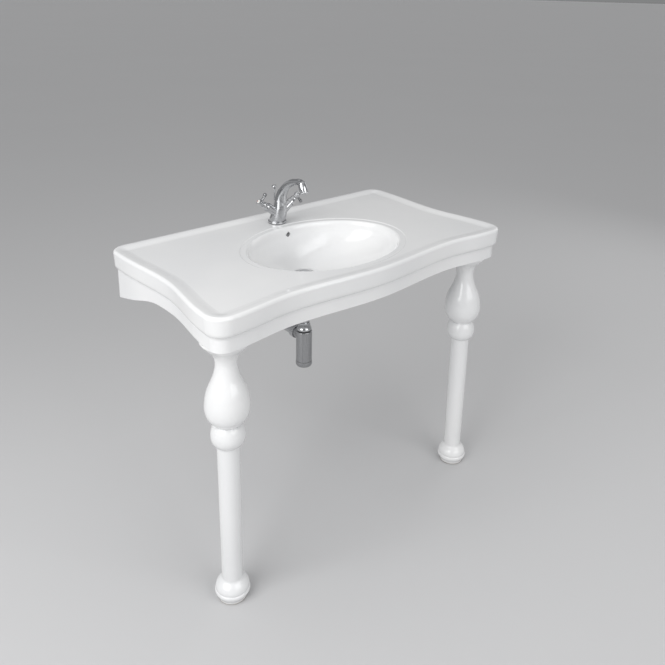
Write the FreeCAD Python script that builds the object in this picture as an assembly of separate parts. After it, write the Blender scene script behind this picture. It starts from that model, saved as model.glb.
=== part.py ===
"""Console washbasin on two turned front legs, with a monobloc tap, a pop-up waste and a bottle trap.

Lengths are in millimetres. Everything is drawn from the wall face (y = 0, the room on the -Y side) and the
floor (z = 0), with the middle of the basin at x = 0. At the end each piece is moved so that the origin is the
middle of the floor print.
"""

import FreeCAD, Part

import math
import os

V = FreeCAD.Vector
UP = V(0, 0, 1)
BACK = V(0, 1, 0)
RIGHT = V(1, 0, 0)

# ---- basin: plan of the outer edge -------------------------------------------------------------------------
RIM_HEIGHT = 850.0  # floor to the crest of the rim
DEPTH = 580.0  # wall to the middle of the front edge
HALF_FRONT = 520.0  # half width at the front corners
HALF_WAIST = 495.0  # half width where the sides draw in
HALF_REAR = 508.0  # half width near the wall
WAIST_FROM_WALL = 295.0
REAR_BULGE_FROM_WALL = 70.0
FRONT_DIP = 20.0  # how far the front edge draws in either side of the middle
DIP_HALF_SPAN = 285.0
CORNER_DROP = 3.0  # front corners stand this far behind the middle of the front edge
CORNER_RADIUS = 48.0
REAR_CORNER_RADIUS = 42.0

# ---- basin: section of the edge ----------------------------------------------------------------------------
ROLL_WIDTH = 7.0  # outer edge to the crest
ROLL_HEIGHT = 8.0
FASCIA_HEIGHT = 38.5  # crest to the bead that ends the upper band
FASCIA_TAPER = 3.0
BEAD_HEIGHT = 16.0
HOLLOW_HEIGHT = 10.0  # slight hollow between the bead and the apron
HOLLOW_DEPTH = 2.5
APRON_INSET = 14.0
APRON_HEIGHT = 94.0  # crest to the lower edge of the apron
APRON_WALL = 14.0
STEM_MARGIN = 16.0  # the solid corner over each leg, past the leg's top
WING_HEIGHT = 150.0  # crest to the lower edge of the side at the wall
WING_LENGTH = 242.0  # the side's lower edge rises to the apron over this length
WING_MIDDLE_RISE = 0.55  # share of that rise reached half way along
BACK_WALL = 20.0
BACK_MARGIN = 4.0  # flat strip behind the crest at the wall
DECK_DROP = 5.0  # crest down to the deck
DECK_SLOPE = 34.0  # width of the slope inside the crest
DECK_THICKNESS = 16.0

# ---- bowl --------------------------------------------------------------------------------------------------
BOWL_HALF_WIDTH = 238.0
BOWL_HALF_DEPTH = 180.0
BOWL_FROM_WALL = 330.0
BOWL_DEPTH = 129.0
BOWL_WALL = 11.0
BOWL_LIP = 7.0
BOWL_ROUND = 1.6  # powers of the bowl's section: round at the bottom, upright at the lip
BOWL_FLAT = 2.2
RING_MARGIN = 25.0  # shallow step round the bowl
RING_DROP = 1.5
DRAIN_FROM_WALL = 233.0
OVERFLOW_RADIUS = 6.5
OVERFLOW_BELOW_DECK = 24.0
DUCT_HALF_WIDTH = 12.0
DUCT_DEPTH = 8.0
DUCT_WALL = 5.0
WASTE_BOSS_RADIUS = 42.0
WASTE_BOSS_DEPTH = 32.0  # seat of the waste down to the underside
WASTE_HOLE_RADIUS = 23.0

# ---- legs --------------------------------------------------------------------------------------------------
LEG_FROM_SIDE = 76.0  # front corner's side to the leg's axis
LEG_FROM_FRONT = 85.0
LEG_SEAL = 1.5
CAPITAL_RADIUS = 62.0
CAPITAL_HEIGHT = 64.5  # top of the leg down to the neck
NECK_RADIUS = 27.0
NECK_TO_BULB = 116.0
BULB_RADIUS = 56.5
BULB_TO_NOTCH = 48.0
NOTCH_RADIUS = 33.5
NOTCH_TO_RING = 32.0
LEG_RING_RADIUS = 43.8
RING_TO_SHAFT = 32.0
SHAFT_TOP_RADIUS = 29.3
SHAFT_BOTTOM_RADIUS = 27.5
FOOT_RADIUS = 47.0
FOOT_HEIGHT = 64.0
FOOT_GROOVE = 2.2
FOOT_GROOVE_HEIGHT = 27.0
PAD_THICKNESS = 3.0
PAD_RADIUS = 34.0
DOWEL_RADIUS = 9.0
DOWEL_LENGTH = 58.0
DOWEL_GAP = 0.3

# ---- fits --------------------------------------------------------------------------------------------------
THREAD_GAP = 0.1  # round a thread drawn plain, or a seal in its seat
SNUG_GAP = 0.05

# ---- wall fixings ------------------------------------------------------------------------------------------
FIXING_SPACING = 300.0
FIXING_BELOW_RIM = 60.0
STUD_RADIUS = 5.0  # inside the wall
STUD_STEP = 0.2  # the threaded shank is slimmer than the anchor by this
STUD_STEP_DEPTH = 1.0
STUD_EMBED = 60.0
STUD_FREE = 38.0
STUD_HOLE_RADIUS = 7.2
FIXING_GAP = 0.1
SLEEVE_FLANGE = 2.0
WASHER_RADIUS = 14.0
WASHER_THICKNESS = 2.0
NUT_FLATS = 17.0
NUT_HEIGHT = 8.0

# ---- tap ---------------------------------------------------------------------------------------------------
TAP_FROM_WALL = 95.0
TAP_HOLE_RADIUS = 17.5
TAP_GASKET = 2.0
TAP_BASE_RADIUS = 28.5
TAP_BASE_HEIGHT = 6.0
TAP_NECK_RADIUS = 26.0  # the body where it leaves the base
ARM_RADIUS = 12.0
ARM_ROOT_RADIUS = 15.5
ARM_TILT = 36.0  # degrees above level
ARM_FORWARD = 10.0  # the arms' axes in front of the base's axis
ARM_ROOT_HEIGHT = 27.0  # top of the gasket to the crossing of the arm axes
ARM_LENGTH = 54.0
BONNET_RADIUS = 12.8
BONNET_LENGTH = 20.0
CARTRIDGE_RADIUS = 9.0
CARTRIDGE_LENGTH = 26.0
SPINDLE_RADIUS = 4.0
SPINDLE_GAP = 0.05
HANDLE_GAP = 0.6
HUB_RADIUS = 9.5
HUB_LENGTH = 20.0
SPOKE_REACH = 33.0
SPOKE_RADIUS = 3.3
SPOKE_BALL_RADIUS = 5.6
HANDLE_SCREW_RADIUS = 2.0
INDEX_RADIUS = 6.4
SPOUT_REACH = 121.0  # base's axis to the end of the spout's axis
SPOUT_HEIGHT = 152.0  # top of the gasket to the highest point of the spout's axis
SPOUT_TIP_RADIUS = 9.6
NOZZLE_RADIUS = 13.0
NOZZLE_LENGTH = 34.0
NOZZLE_TILT = 25.0  # degrees forward of straight down
AERATOR_RADIUS = 9.5
AERATOR_LENGTH = 9.0
CLAMP_STUD_RADIUS = 4.0
CLAMP_STUD_FORWARD = 10.0
CLAMP_STUD_LENGTH = 62.0
CLAMP_PLATE_RADIUS = 26.0
CLAMP_PLATE_THICKNESS = 3.0
CLAMP_SEAL_THICKNESS = 3.0
CLAMP_NUT_RADIUS = 8.0
CLAMP_NUT_HEIGHT = 12.0
CLAMP_NOTCH_HALF_WIDTH = 14.0
CLAMP_NOTCH_FORWARD = 4.0
INLET_RADIUS = 4.2
INLET_HALF_SPACING = 8.5
INLET_DEPTH = 14.0

# ---- pop-up linkage ----------------------------------------------------------------------------------------
LIFT_BEHIND_TAP = 14.0
LIFT_ROD_RADIUS = 2.25
LIFT_ROD_GAP = 0.6
KNOB_RADIUS = 8.5
KNOB_HEIGHT = 14.0
KNOB_TOP = 120.0  # above the deck
LIFT_TRAVEL = 35.0
ROD_END_BELOW_DECK = 156.0
STRAP_HALF_WIDTH = 8.0
STRAP_THICKNESS = 2.0
STRAP_LENGTH = 96.0
CLAMP_BLOCK_HEIGHT = 14.0
CLAMP_BLOCK_DEPTH = 10.0
STRAP_SCREW_RADIUS = 1.3
STRAP_HOLE_PITCH = 11.0
STRAP_HOLE_GAP = 1.6
PIVOT_BELOW_SEAT = 78.0  # waste seat down to the pivot ball
PIVOT_FROM_AXIS = 22.0
PIVOT_BALL_RADIUS = 5.0
PIVOT_ROD_RADIUS = 2.5
PIVOT_ROD_INNER = 25.0
PIVOT_ROD_TAIL = 14.0  # past the strap
PIVOT_BALL_GAP = 0.08
PORT_RADIUS = 9.0
PIVOT_NUT_RADIUS = 12.5
PIVOT_NUT_LENGTH = 12.0

# ---- waste -------------------------------------------------------------------------------------------------
FLANGE_RADIUS = 32.0
FLANGE_THICKNESS = 3.0
WASTE_TUBE_RADIUS = 21.5
WASTE_BORE_RADIUS = 19.0
WASTE_TUBE_LENGTH = 66.0
SEAL_THICKNESS = 3.0
WASTE_SEAL_RADIUS = 31.0
BACK_NUT_RADIUS = 30.0
BACK_NUT_HEIGHT = 10.0
TEE_RADIUS = 25.0
TEE_LENGTH = 62.0
TEE_OVERLAP = 10.0  # the tee over the end of the waste tube
TEE_TAIL_RADIUS = 19.0
TEE_TAIL_LENGTH = 16.0
PLUG_RADIUS = 18.4
PLUG_CAP = 5.0
PLUG_STEM_RADIUS = 3.0
PLUG_SEAL_THICKNESS = 3.0
PLUG_SEAT_GAP = 0.4
PLUG_EYE_GAP = 0.9

# ---- trap --------------------------------------------------------------------------------------------------
DIP_TUBE_RADIUS = 14.5
TUBE_WALL = 1.5
COUPLING_NUT_RADIUS = 23.5
COUPLING_NUT_HEIGHT = 20.0
COUPLING_NUT_LIP = 3.0
DIP_TUBE_LIP = 2.0
COUPLING_SEAL = 2.0
DIP_TUBE_SHOWN = 17.0  # the inlet tube between its nut and the collar
TRAP_RADIUS = 25.0
TRAP_WALL = 2.0
TRAP_LENGTH = 121.0
TRAP_CAP_HEIGHT = 19.0
COLLAR_HEIGHT = 26.0
COLLAR_RADIUS = 22.5
COLLAR_TOP_RADIUS = 17.0
COLLAR_GROOVE = 2.5
OUTLET_BELOW_TOP = 20.0
OUTLET_RADIUS = 16.0
SPIGOT_RADIUS = 15.8  # the pipe's free end in the wall
OUTLET_STUB = 46.0  # trap axis to the end of the stub
OUTLET_NUT_RADIUS = 20.5
OUTLET_NUT_LENGTH = 18.0
OUTLET_EMBED = 40.0
ESCUTCHEON_RADIUS = 32.0
ESCUTCHEON_DEPTH = 10.0
DIP_END_ABOVE_BASE = 24.0

# ---- places worked out from the sizes ----------------------------------------------------------------------
DECK_Z = RIM_HEIGHT - DECK_DROP
APRON_Z = RIM_HEIGHT - APRON_HEIGHT
SOFFIT_Z = DECK_Z - DECK_THICKNESS
BOWL_TOP_Z = DECK_Z - RING_DROP
SEAT_Z = BOWL_TOP_Z - BOWL_DEPTH
BOSS_BASE_Z = SEAT_Z - WASTE_BOSS_DEPTH
LEG_X = HALF_FRONT - LEG_FROM_SIDE
LEG_Y = LEG_FROM_FRONT - DEPTH
FIXING_Z = RIM_HEIGHT - FIXING_BELOW_RIM
TAP_Z = DECK_Z + TAP_GASKET
PIVOT_Z = SEAT_Z - PIVOT_BELOW_SEAT
PIVOT_Y = PIVOT_FROM_AXIS - DRAIN_FROM_WALL
LIFT_Y = LIFT_BEHIND_TAP - TAP_FROM_WALL
STRAP_Y = LIFT_Y + LIFT_ROD_RADIUS + CLAMP_BLOCK_DEPTH / 2 - 1.0
STRAP_TOP_Z = DECK_Z - ROD_END_BELOW_DECK + CLAMP_BLOCK_HEIGHT
LEVER_OUT = STRAP_Y + STRAP_THICKNESS / 2 - PIVOT_Y
LEVER_TURN = LIFT_TRAVEL / LEVER_OUT  # radians over the whole travel
PLUG_TRAVEL = PIVOT_FROM_AXIS * LEVER_TURN
TEE_TAIL_Z = SEAT_Z - WASTE_TUBE_LENGTH + TEE_OVERLAP - TEE_LENGTH - TEE_TAIL_LENGTH
COUPLING_NUT_Z = TEE_TAIL_Z - COUPLING_SEAL - DIP_TUBE_LIP - COUPLING_NUT_LIP
TRAP_TOP_Z = COUPLING_NUT_Z - DIP_TUBE_SHOWN - COLLAR_HEIGHT - COLLAR_GROOVE
OUTLET_Z = TRAP_TOP_Z - OUTLET_BELOW_TOP
ORIGIN = V(0, (STUD_EMBED - DEPTH) / 2, 0)

PARTS = {}


def keep(name, *solids):
    """Stores a node made of one or more separate solids."""
    PARTS[name] = solids[0] if len(solids) == 1 else Part.makeCompound(list(solids))


def cylinder(radius, start, direction, length):
    return Part.makeCylinder(radius, length, start, direction)


def tube(outer, inner, start, direction, length):
    return cylinder(outer, start, direction, length).cut(cylinder(inner, start, direction, length))


def block(x0, x1, y0, y1, z0, z1):
    return Part.makeBox(x1 - x0, y1 - y0, z1 - z0, V(x0, y0, z0))


def hexagon(flats, start, direction, length):
    """A hexagonal prism, flats across, along a direction."""
    reach = flats / math.sqrt(3)
    corners = [V(reach * math.cos(math.radians(60 * k)), reach * math.sin(math.radians(60 * k)), 0)
               for k in range(7)]
    prism = Part.Face(Part.makePolygon(corners)).extrude(V(0, 0, length))
    return placed(prism, start, direction)


def placed(shape, origin, direction):
    """Carries a shape drawn along +Z from the origin to another origin and direction."""
    moved = shape.copy()
    moved.Placement = FreeCAD.Placement(origin, FreeCAD.Rotation(UP, direction))
    return moved


def turned(edges, x=0.0, y=0.0):
    """Turns a closed chain of edges, drawn in the XZ plane from the axis outwards, about a vertical axis."""
    face = Part.Face(Part.Wire(edges))
    solid = face.revolve(V(0, 0, 0), UP, 360)
    solid.translate(V(x, y, 0))
    return solid


def lines(*points):
    """Straight edges through (radius, height) points."""
    corners = [V(radius, 0, height) for radius, height in points]
    return [Part.LineSegment(a, b).toShape() for a, b in zip(corners, corners[1:])]


def curve(*points):
    """One smooth edge through (radius, height) points."""
    spline = Part.BSplineCurve()
    spline.interpolate([V(r, 0, z) for r, z in points])
    return [spline.toShape()]


# ---- basin -------------------------------------------------------------------------------------------------
def spline_between(points, tangent):
    """A smooth edge through points, with the same tangent at all of them."""
    spline = Part.BSplineCurve()
    spline.interpolate(Points=points, Tangents=[tangent] * len(points), TangentFlags=[True] * len(points))
    return spline.toShape()


def corner(centre, radius, start_deg):
    """A quarter turn of the outline, clockwise seen from above."""
    def at(angle):
        return V(centre.x + radius * math.cos(math.radians(angle)),
                 centre.y + radius * math.sin(math.radians(angle)), centre.z)
    return Part.Arc(at(start_deg), at(start_deg - 45), at(start_deg - 90)).toShape()


def outline(inset, z, back=None):
    """The basin's outer edge in plan at height z, drawn in by inset, and by back at the wall."""
    back = inset if back is None else back
    front_y = CORNER_DROP + inset - DEPTH
    rear = HALF_REAR - inset
    waist = HALF_WAIST - inset
    front = HALF_FRONT - inset
    radius = CORNER_RADIUS - inset
    rear_radius = max(REAR_CORNER_RADIUS - inset, 3.0)
    corner_y = front_y + radius
    bulge_y = -max(REAR_BULGE_FROM_WALL, back + rear_radius + 5.0)
    rear_start = V(rear, -back - rear_radius, z)
    side = [V(rear, bulge_y, z), V(waist, -WAIST_FROM_WALL, z), V(front, corner_y, z)]
    middle = [V(front - radius, front_y, z), V(DIP_HALF_SPAN, inset + FRONT_DIP - DEPTH, z),
              V(0, inset - DEPTH, z), V(-DIP_HALF_SPAN, inset + FRONT_DIP - DEPTH, z),
              V(radius - front, front_y, z)]
    left = [V(-p.x, p.y, z) for p in reversed(side)]
    rear_left = V(-rear, rear_start.y, z)
    edges = [
        Part.LineSegment(V(rear_radius - rear, -back, z), V(rear - rear_radius, -back, z)).toShape(),
        corner(V(rear - rear_radius, -back - rear_radius, z), rear_radius, 90),
        Part.LineSegment(rear_start, side[0]).toShape(),
        spline_between(side, V(0, -1, 0)),
        corner(V(front - radius, corner_y, z), radius, 0),
        spline_between(middle, V(-1, 0, 0)),
        corner(V(radius - front, corner_y, z), radius, -90),
        spline_between(left, V(0, 1, 0)),
        Part.LineSegment(left[-1], rear_left).toShape(),
        corner(V(rear_radius - rear, -back - rear_radius, z), rear_radius, 180),
    ]
    return Part.Wire(edges)


def skinned(wires, ruled=False):
    """A solid through closed wires, with its faces looking outwards."""
    solid = Part.makeLoft(wires, True, ruled)
    if solid.Volume < 0:
        solid.reverse()
    return solid


def lofted(sections, ruled=False):
    """A solid through outlines given as (inset, height, inset at the wall)."""
    return skinned([outline(*section) for section in sections], ruled)


def edge_band():
    """The rolled edge, the upper band with its bead, the hollow and the apron, down to the wings' edge."""
    roll_z = RIM_HEIGHT - ROLL_HEIGHT
    bead_z = RIM_HEIGHT - FASCIA_HEIGHT
    crease_z = bead_z - BEAD_HEIGHT
    apron_top = crease_z - HOLLOW_HEIGHT
    crease_inset = APRON_INSET - HOLLOW_DEPTH
    steps = 4
    roll = []
    for k in range(steps + 1):
        angle = math.radians(90 * k / steps)
        inset = ROLL_WIDTH * (1 - math.cos(angle))
        roll.append((inset, roll_z + ROLL_HEIGHT * math.sin(angle), inset))
    bead, hollow = [], []
    for k in range(steps + 1):
        angle = math.radians(90 * k / steps)
        inset = crease_inset - (crease_inset - FASCIA_TAPER) * math.sin(angle)
        bead.append((inset, crease_z + BEAD_HEIGHT * (1 - math.cos(angle)), 0.0))
        inset = APRON_INSET - HOLLOW_DEPTH * (1 - math.cos(angle))
        hollow.append((inset, apron_top + HOLLOW_HEIGHT * math.sin(angle), 0.0))
    low = RIM_HEIGHT - WING_HEIGHT - 10.0
    pieces = [
        lofted(roll),
        lofted([(FASCIA_TAPER, bead_z, 0.0), (0.0, roll_z, 0.0)], True),
        lofted(bead),
        lofted(hollow),
        lofted([(APRON_INSET, low, 0.0), (APRON_INSET, apron_top, 0.0)], True),
    ]
    return pieces[0].multiFuse(pieces[1:])


def under_cutter():
    """What is cut away below the apron: level in front, and curving down to the wings at the wall."""
    wing_z = RIM_HEIGHT - WING_HEIGHT
    far = 2 * HALF_FRONT
    low = wing_z - 60.0
    rise = Part.BSplineCurve()
    start = V(-far, -WING_LENGTH, APRON_Z)
    middle = V(-far, -WING_LENGTH / 2, wing_z + (APRON_Z - wing_z) * WING_MIDDLE_RISE)
    end = V(-far, 0, wing_z)
    rise.interpolate(Points=[start, middle, end], Tangents=[V(0, 1, 0)] * 3,
                     TangentFlags=[True, False, False])
    profile = [
        rise.toShape(),
        Part.LineSegment(end, V(-far, 40, wing_z)).toShape(),
        Part.LineSegment(V(-far, 40, wing_z), V(-far, 40, low)).toShape(),
        Part.LineSegment(V(-far, 40, low), V(-far, -DEPTH - 40, low)).toShape(),
        Part.LineSegment(V(-far, -DEPTH - 40, low), V(-far, -DEPTH - 40, APRON_Z)).toShape(),
        Part.LineSegment(V(-far, -DEPTH - 40, APRON_Z), start).toShape(),
    ]
    return Part.Face(Part.Wire(profile)).extrude(V(2 * far, 0, 0))


def deck_recess():
    """The shallow dish inside the crest."""
    steps = 4
    sections = []
    for k in range(steps + 1):
        angle = math.radians(180 * k / steps)
        inset = ROLL_WIDTH + 1.0 + DECK_SLOPE * k / steps
        sections.append((inset, DECK_Z + DECK_DROP * (1 + math.cos(angle)) / 2, inset + BACK_MARGIN))
    return lofted(list(reversed(sections)))


def ellipse(half_width, half_depth, y, z):
    edge = Part.Ellipse(V(0, y, z), half_width, half_depth).toShape()
    return Part.Wire([edge])


def bowl(grow=0.0):
    """The inside of the bowl, or with grow its outer form, from the deck to the seat of the waste."""
    scales = [0.985, 0.95, 0.88, 0.78, 0.66, 0.53, 0.4, 0.29, 0.2]
    shift = BOWL_FROM_WALL - DRAIN_FROM_WALL
    wires = [ellipse(BOWL_HALF_WIDTH + BOWL_LIP + grow, BOWL_HALF_DEPTH + BOWL_LIP + grow,
                     -BOWL_FROM_WALL, BOWL_TOP_Z)]
    wires.append(ellipse(BOWL_HALF_WIDTH + 2.2 + grow, BOWL_HALF_DEPTH + 2.2 + grow,
                         -BOWL_FROM_WALL, BOWL_TOP_Z - 3.0))
    for scale in scales:
        fall = (1 - scale ** BOWL_ROUND) ** (1 / BOWL_FLAT)
        y = -BOWL_FROM_WALL + shift * (1 - scale) / (1 - scales[-1])
        wires.append(ellipse(BOWL_HALF_WIDTH * scale + grow, BOWL_HALF_DEPTH * scale + grow, y,
                             BOWL_TOP_Z - (BOWL_DEPTH + grow) * fall))
    return skinned(wires)


def basin():
    body = edge_band().cut(under_cutter())
    inner = APRON_INSET + APRON_WALL
    low = RIM_HEIGHT - WING_HEIGHT - 20.0
    body = body.cut(lofted([(inner, low, BACK_WALL), (inner, SOFFIT_Z, BACK_WALL)], True))
    extras = [bowl(BOWL_WALL), waste_boss(), overflow_boss()]
    inside = lofted([(APRON_INSET, APRON_Z, 0.0), (APRON_INSET, SOFFIT_Z + 2.0, 0.0)], True)
    for side in (-1, 1):
        stem = cylinder(CAPITAL_RADIUS + STEM_MARGIN, V(side * LEG_X, LEG_Y, APRON_Z), UP,
                        SOFFIT_Z + 2.0 - APRON_Z)
        extras.append(stem.common(inside))
    body = body.multiFuse(extras)
    cuts = [deck_recess(), bowl(), step_ring(), overflow_way(), waste_hole()]
    cuts.append(cylinder(TAP_HOLE_RADIUS, V(0, -TAP_FROM_WALL, SOFFIT_Z - 20), UP, 60))
    for side in (-1, 1):
        cuts.append(cylinder(STUD_HOLE_RADIUS, V(side * FIXING_SPACING / 2, 10, FIXING_Z), -BACK,
                             BACK_WALL + 20))
        cuts.append(cylinder(DOWEL_RADIUS + DOWEL_GAP, V(side * LEG_X, LEG_Y, APRON_Z - 1), UP,
                             DOWEL_LENGTH / 2 + 2.0))
    for cut in cuts:
        body = body.cut(cut)
    keep("basin", body.Solids[0] if body.Solids else body)


def step_ring():
    """The shallow step that runs round the bowl."""
    wide, deep = BOWL_HALF_WIDTH + RING_MARGIN, BOWL_HALF_DEPTH + RING_MARGIN
    wires = [ellipse(wide - 3.0, deep - 3.0, -BOWL_FROM_WALL, BOWL_TOP_Z),
             ellipse(wide, deep, -BOWL_FROM_WALL, DECK_Z),
             ellipse(wide, deep, -BOWL_FROM_WALL, DECK_Z + 0.5)]
    return skinned(wires, True)


def waste_boss():
    return cylinder(WASTE_BOSS_RADIUS, V(0, -DRAIN_FROM_WALL, BOSS_BASE_Z), UP, WASTE_BOSS_DEPTH + 14.0)


def waste_hole():
    """The hole for the waste, with the recess of its flange."""
    base = V(0, -DRAIN_FROM_WALL, BOSS_BASE_Z - 5)
    hole = cylinder(WASTE_HOLE_RADIUS, base, UP, WASTE_BOSS_DEPTH + 40)
    recess = cylinder(FLANGE_RADIUS + 1.5, V(0, -DRAIN_FROM_WALL, SEAT_Z), UP, 30)
    return hole.fuse(recess)


def duct_y():
    """The wall-side face and the bowl-side face of the overflow duct."""
    front = -BOWL_FROM_WALL + BOWL_HALF_DEPTH + BOWL_WALL + 3.0
    return front, front + DUCT_DEPTH


def overflow_boss():
    """The moulded duct behind the bowl and along to the waste."""
    front, rear = duct_y()
    half = DUCT_HALF_WIDTH + DUCT_WALL
    upright = block(-half, half, front - 12.0, rear + DUCT_WALL, BOSS_BASE_Z, SOFFIT_Z + 2.0)
    return upright.fuse(block(-half, half, -DRAIN_FROM_WALL, rear + DUCT_WALL, BOSS_BASE_Z, SEAT_Z - 2.0))


def overflow_way():
    """The space from the overflow hole down to the waste."""
    front, rear = duct_y()
    hole_z = DECK_Z - OVERFLOW_BELOW_DECK
    floor_z = BOSS_BASE_Z + DUCT_WALL
    upright = block(-DUCT_HALF_WIDTH, DUCT_HALF_WIDTH, front, rear, floor_z, SOFFIT_Z - 4.0)
    level = block(-DUCT_HALF_WIDTH, DUCT_HALF_WIDTH, -DRAIN_FROM_WALL, front + 1.0, floor_z,
                  floor_z + DUCT_DEPTH)
    hole = cylinder(OVERFLOW_RADIUS, V(0, front + 1.0, hole_z), -BACK, 30.0)
    return upright.multiFuse([level, hole])


# ---- legs and wall fixings ---------------------------------------------------------------------------------
def leg(side):
    """A turned leg: capital, neck, bulb, ring, tapered shaft and a bell foot with a groove round it."""
    top = APRON_Z - LEG_SEAL
    neck = top - CAPITAL_HEIGHT
    bulb = neck - NECK_TO_BULB
    notch = bulb - BULB_TO_NOTCH
    ring = notch - NOTCH_TO_RING
    shaft_top = ring - RING_TO_SHAFT
    base = PAD_THICKNESS
    edges = lines((0, top), (CAPITAL_RADIUS - 1.5, top))
    edges += curve((CAPITAL_RADIUS - 1.5, top), (CAPITAL_RADIUS, top - 2), (CAPITAL_RADIUS - 2.6, top - 8),
                   (CAPITAL_RADIUS - 11, top - 18), (NECK_RADIUS + 11, neck + 33),
                   (NECK_RADIUS + 4, neck + 21),
                   (NECK_RADIUS + 0.8, neck + 9), (NECK_RADIUS, neck), (NECK_RADIUS + 2.5, neck - 19),
                   (NECK_RADIUS + 9.5, neck - 41), (BULB_RADIUS - 9, bulb + 50),
                   (BULB_RADIUS - 2.5, bulb + 27),
                   (BULB_RADIUS, bulb), (BULB_RADIUS - 3, bulb - 20), (BULB_RADIUS - 9.5, bulb - 33),
                   (NOTCH_RADIUS + 5, bulb - 43), (NOTCH_RADIUS, notch))
    edges += curve((NOTCH_RADIUS, notch), (LEG_RING_RADIUS - 2.8, notch - 14), (LEG_RING_RADIUS, ring),
                   (LEG_RING_RADIUS - 2.3, ring - 14), (LEG_RING_RADIUS - 7.8, ring - 23.5),
                   (SHAFT_TOP_RADIUS + 0.7, shaft_top + 3.5))
    edges += lines((SHAFT_TOP_RADIUS + 0.7, shaft_top + 3.5), (SHAFT_TOP_RADIUS, shaft_top),
                   (SHAFT_BOTTOM_RADIUS, base + FOOT_HEIGHT))
    groove = base + FOOT_GROOVE_HEIGHT
    edges += curve((SHAFT_BOTTOM_RADIUS, base + FOOT_HEIGHT), (SHAFT_BOTTOM_RADIUS + 1.2, groove + 30),
                   (FOOT_RADIUS - 11.5, groove + 23), (FOOT_RADIUS - 4.5, groove + 13),
                   (FOOT_RADIUS - 2.6, groove + 5), (FOOT_RADIUS - 1 - FOOT_GROOVE, groove))
    edges += curve((FOOT_RADIUS - 1 - FOOT_GROOVE, groove), (FOOT_RADIUS - 0.6, groove - 4),
                   (FOOT_RADIUS - 1.0, groove - 9), (FOOT_RADIUS - 5.5, groove - 17), (FOOT_RADIUS - 9, base))
    edges += lines((FOOT_RADIUS - 9, base), (0, base), (0, top))
    solid = turned(edges, side * LEG_X, LEG_Y)
    socket = cylinder(DOWEL_RADIUS + DOWEL_GAP, V(side * LEG_X, LEG_Y, top - DOWEL_LENGTH / 2 - 1), UP,
                      DOWEL_LENGTH)
    return solid.cut(socket)


def legs():
    keep("leg_left", leg(-1))
    keep("leg_right", leg(1))
    dowels, seals, pads = [], [], []
    seal_z = APRON_Z - LEG_SEAL
    for side in (-1, 1):
        x = side * LEG_X
        dowels.append(cylinder(DOWEL_RADIUS, V(x, LEG_Y, seal_z - DOWEL_LENGTH / 2), UP, DOWEL_LENGTH))
        seals.append(tube(CAPITAL_RADIUS - 6, DOWEL_RADIUS + 3, V(x, LEG_Y, seal_z), UP, LEG_SEAL))
        pads.append(cylinder(PAD_RADIUS, V(x, LEG_Y, 0), UP, PAD_THICKNESS))
    keep("leg_top_dowels", *dowels)
    keep("leg_top_seals", *seals)
    keep("leg_floor_pads", *pads)


def wall_fixings():
    """Studs in the wall, each with a flanged sleeve, a washer and a nut inside the basin's back wall."""
    studs, sleeves, washers, nuts = [], [], [], []
    shank_radius = STUD_RADIUS - STUD_STEP
    inner = shank_radius + FIXING_GAP
    for side in (-1, 1):
        x = side * FIXING_SPACING / 2
        anchor = cylinder(STUD_RADIUS, V(x, STUD_EMBED, FIXING_Z), -BACK, STUD_EMBED - STUD_STEP_DEPTH)
        shank = cylinder(shank_radius, V(x, STUD_EMBED / 2, FIXING_Z), -BACK, STUD_EMBED / 2 + STUD_FREE)
        studs.append(anchor.fuse(shank))
        bush = cylinder(STUD_HOLE_RADIUS - FIXING_GAP, V(x, 0, FIXING_Z), -BACK, BACK_WALL)
        flange = cylinder(WASHER_RADIUS - 2, V(x, -BACK_WALL, FIXING_Z), -BACK, SLEEVE_FLANGE)
        bore = cylinder(inner, V(x, 1, FIXING_Z), -BACK, BACK_WALL + SLEEVE_FLANGE + 2)
        sleeves.append(bush.fuse(flange).cut(bore))
        washer_y = -BACK_WALL - SLEEVE_FLANGE
        washers.append(tube(WASHER_RADIUS, inner, V(x, washer_y, FIXING_Z), -BACK, WASHER_THICKNESS))
        nut = hexagon(NUT_FLATS, V(x, washer_y - WASHER_THICKNESS, FIXING_Z), -BACK, NUT_HEIGHT)
        nuts.append(nut.cut(cylinder(inner, V(x, 0, FIXING_Z), -BACK, BACK_WALL + STUD_FREE)))
    keep("wall_studs", *studs)
    keep("wall_stud_sleeves", *sleeves)
    keep("wall_washers", *washers)
    keep("wall_nuts", *nuts)


# ---- tap ---------------------------------------------------------------------------------------------------
def spout_path():
    """Points on the body's axis as (forward of the base's axis, height above the gasket, radius)."""
    reach, top = SPOUT_REACH, SPOUT_HEIGHT
    wide, slim = TAP_NECK_RADIUS, SPOUT_TIP_RADIUS
    return [(0.0, TAP_BASE_HEIGHT - 2.0, wide), (0.06 * reach, 0.14 * top, wide - 2.0),
            (0.13 * reach, 0.30 * top, wide - 4.8), (0.148 * reach, 0.49 * top, wide - 7.6),
            (0.195 * reach, 0.62 * top, wide - 9.8), (0.31 * reach, 0.75 * top, slim + 4.2),
            (0.46 * reach, 0.865 * top, slim + 2.4), (0.65 * reach, 0.95 * top, slim + 1.0),
            (0.82 * reach, 0.99 * top, slim), (reach, top, slim)]


def spout():
    """The cast body, leaning forward and sweeping over: a skin through circles square to its axis."""
    points = spout_path()
    centres = [V(0, -TAP_FROM_WALL - forward, TAP_Z + height) for forward, height, _ in points]
    axis = Part.BSplineCurve()
    axis.interpolate(Points=centres, InitialTangent=UP, FinalTangent=V(0, -1, 0.1))
    wires = []
    for centre, (_, _, radius) in zip(centres, points):
        tangent = axis.tangent(axis.parameter(centre))[0]
        wires.append(Part.Wire([Part.Circle(centre, tangent, radius).toShape()]))
    return skinned(wires)


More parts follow.
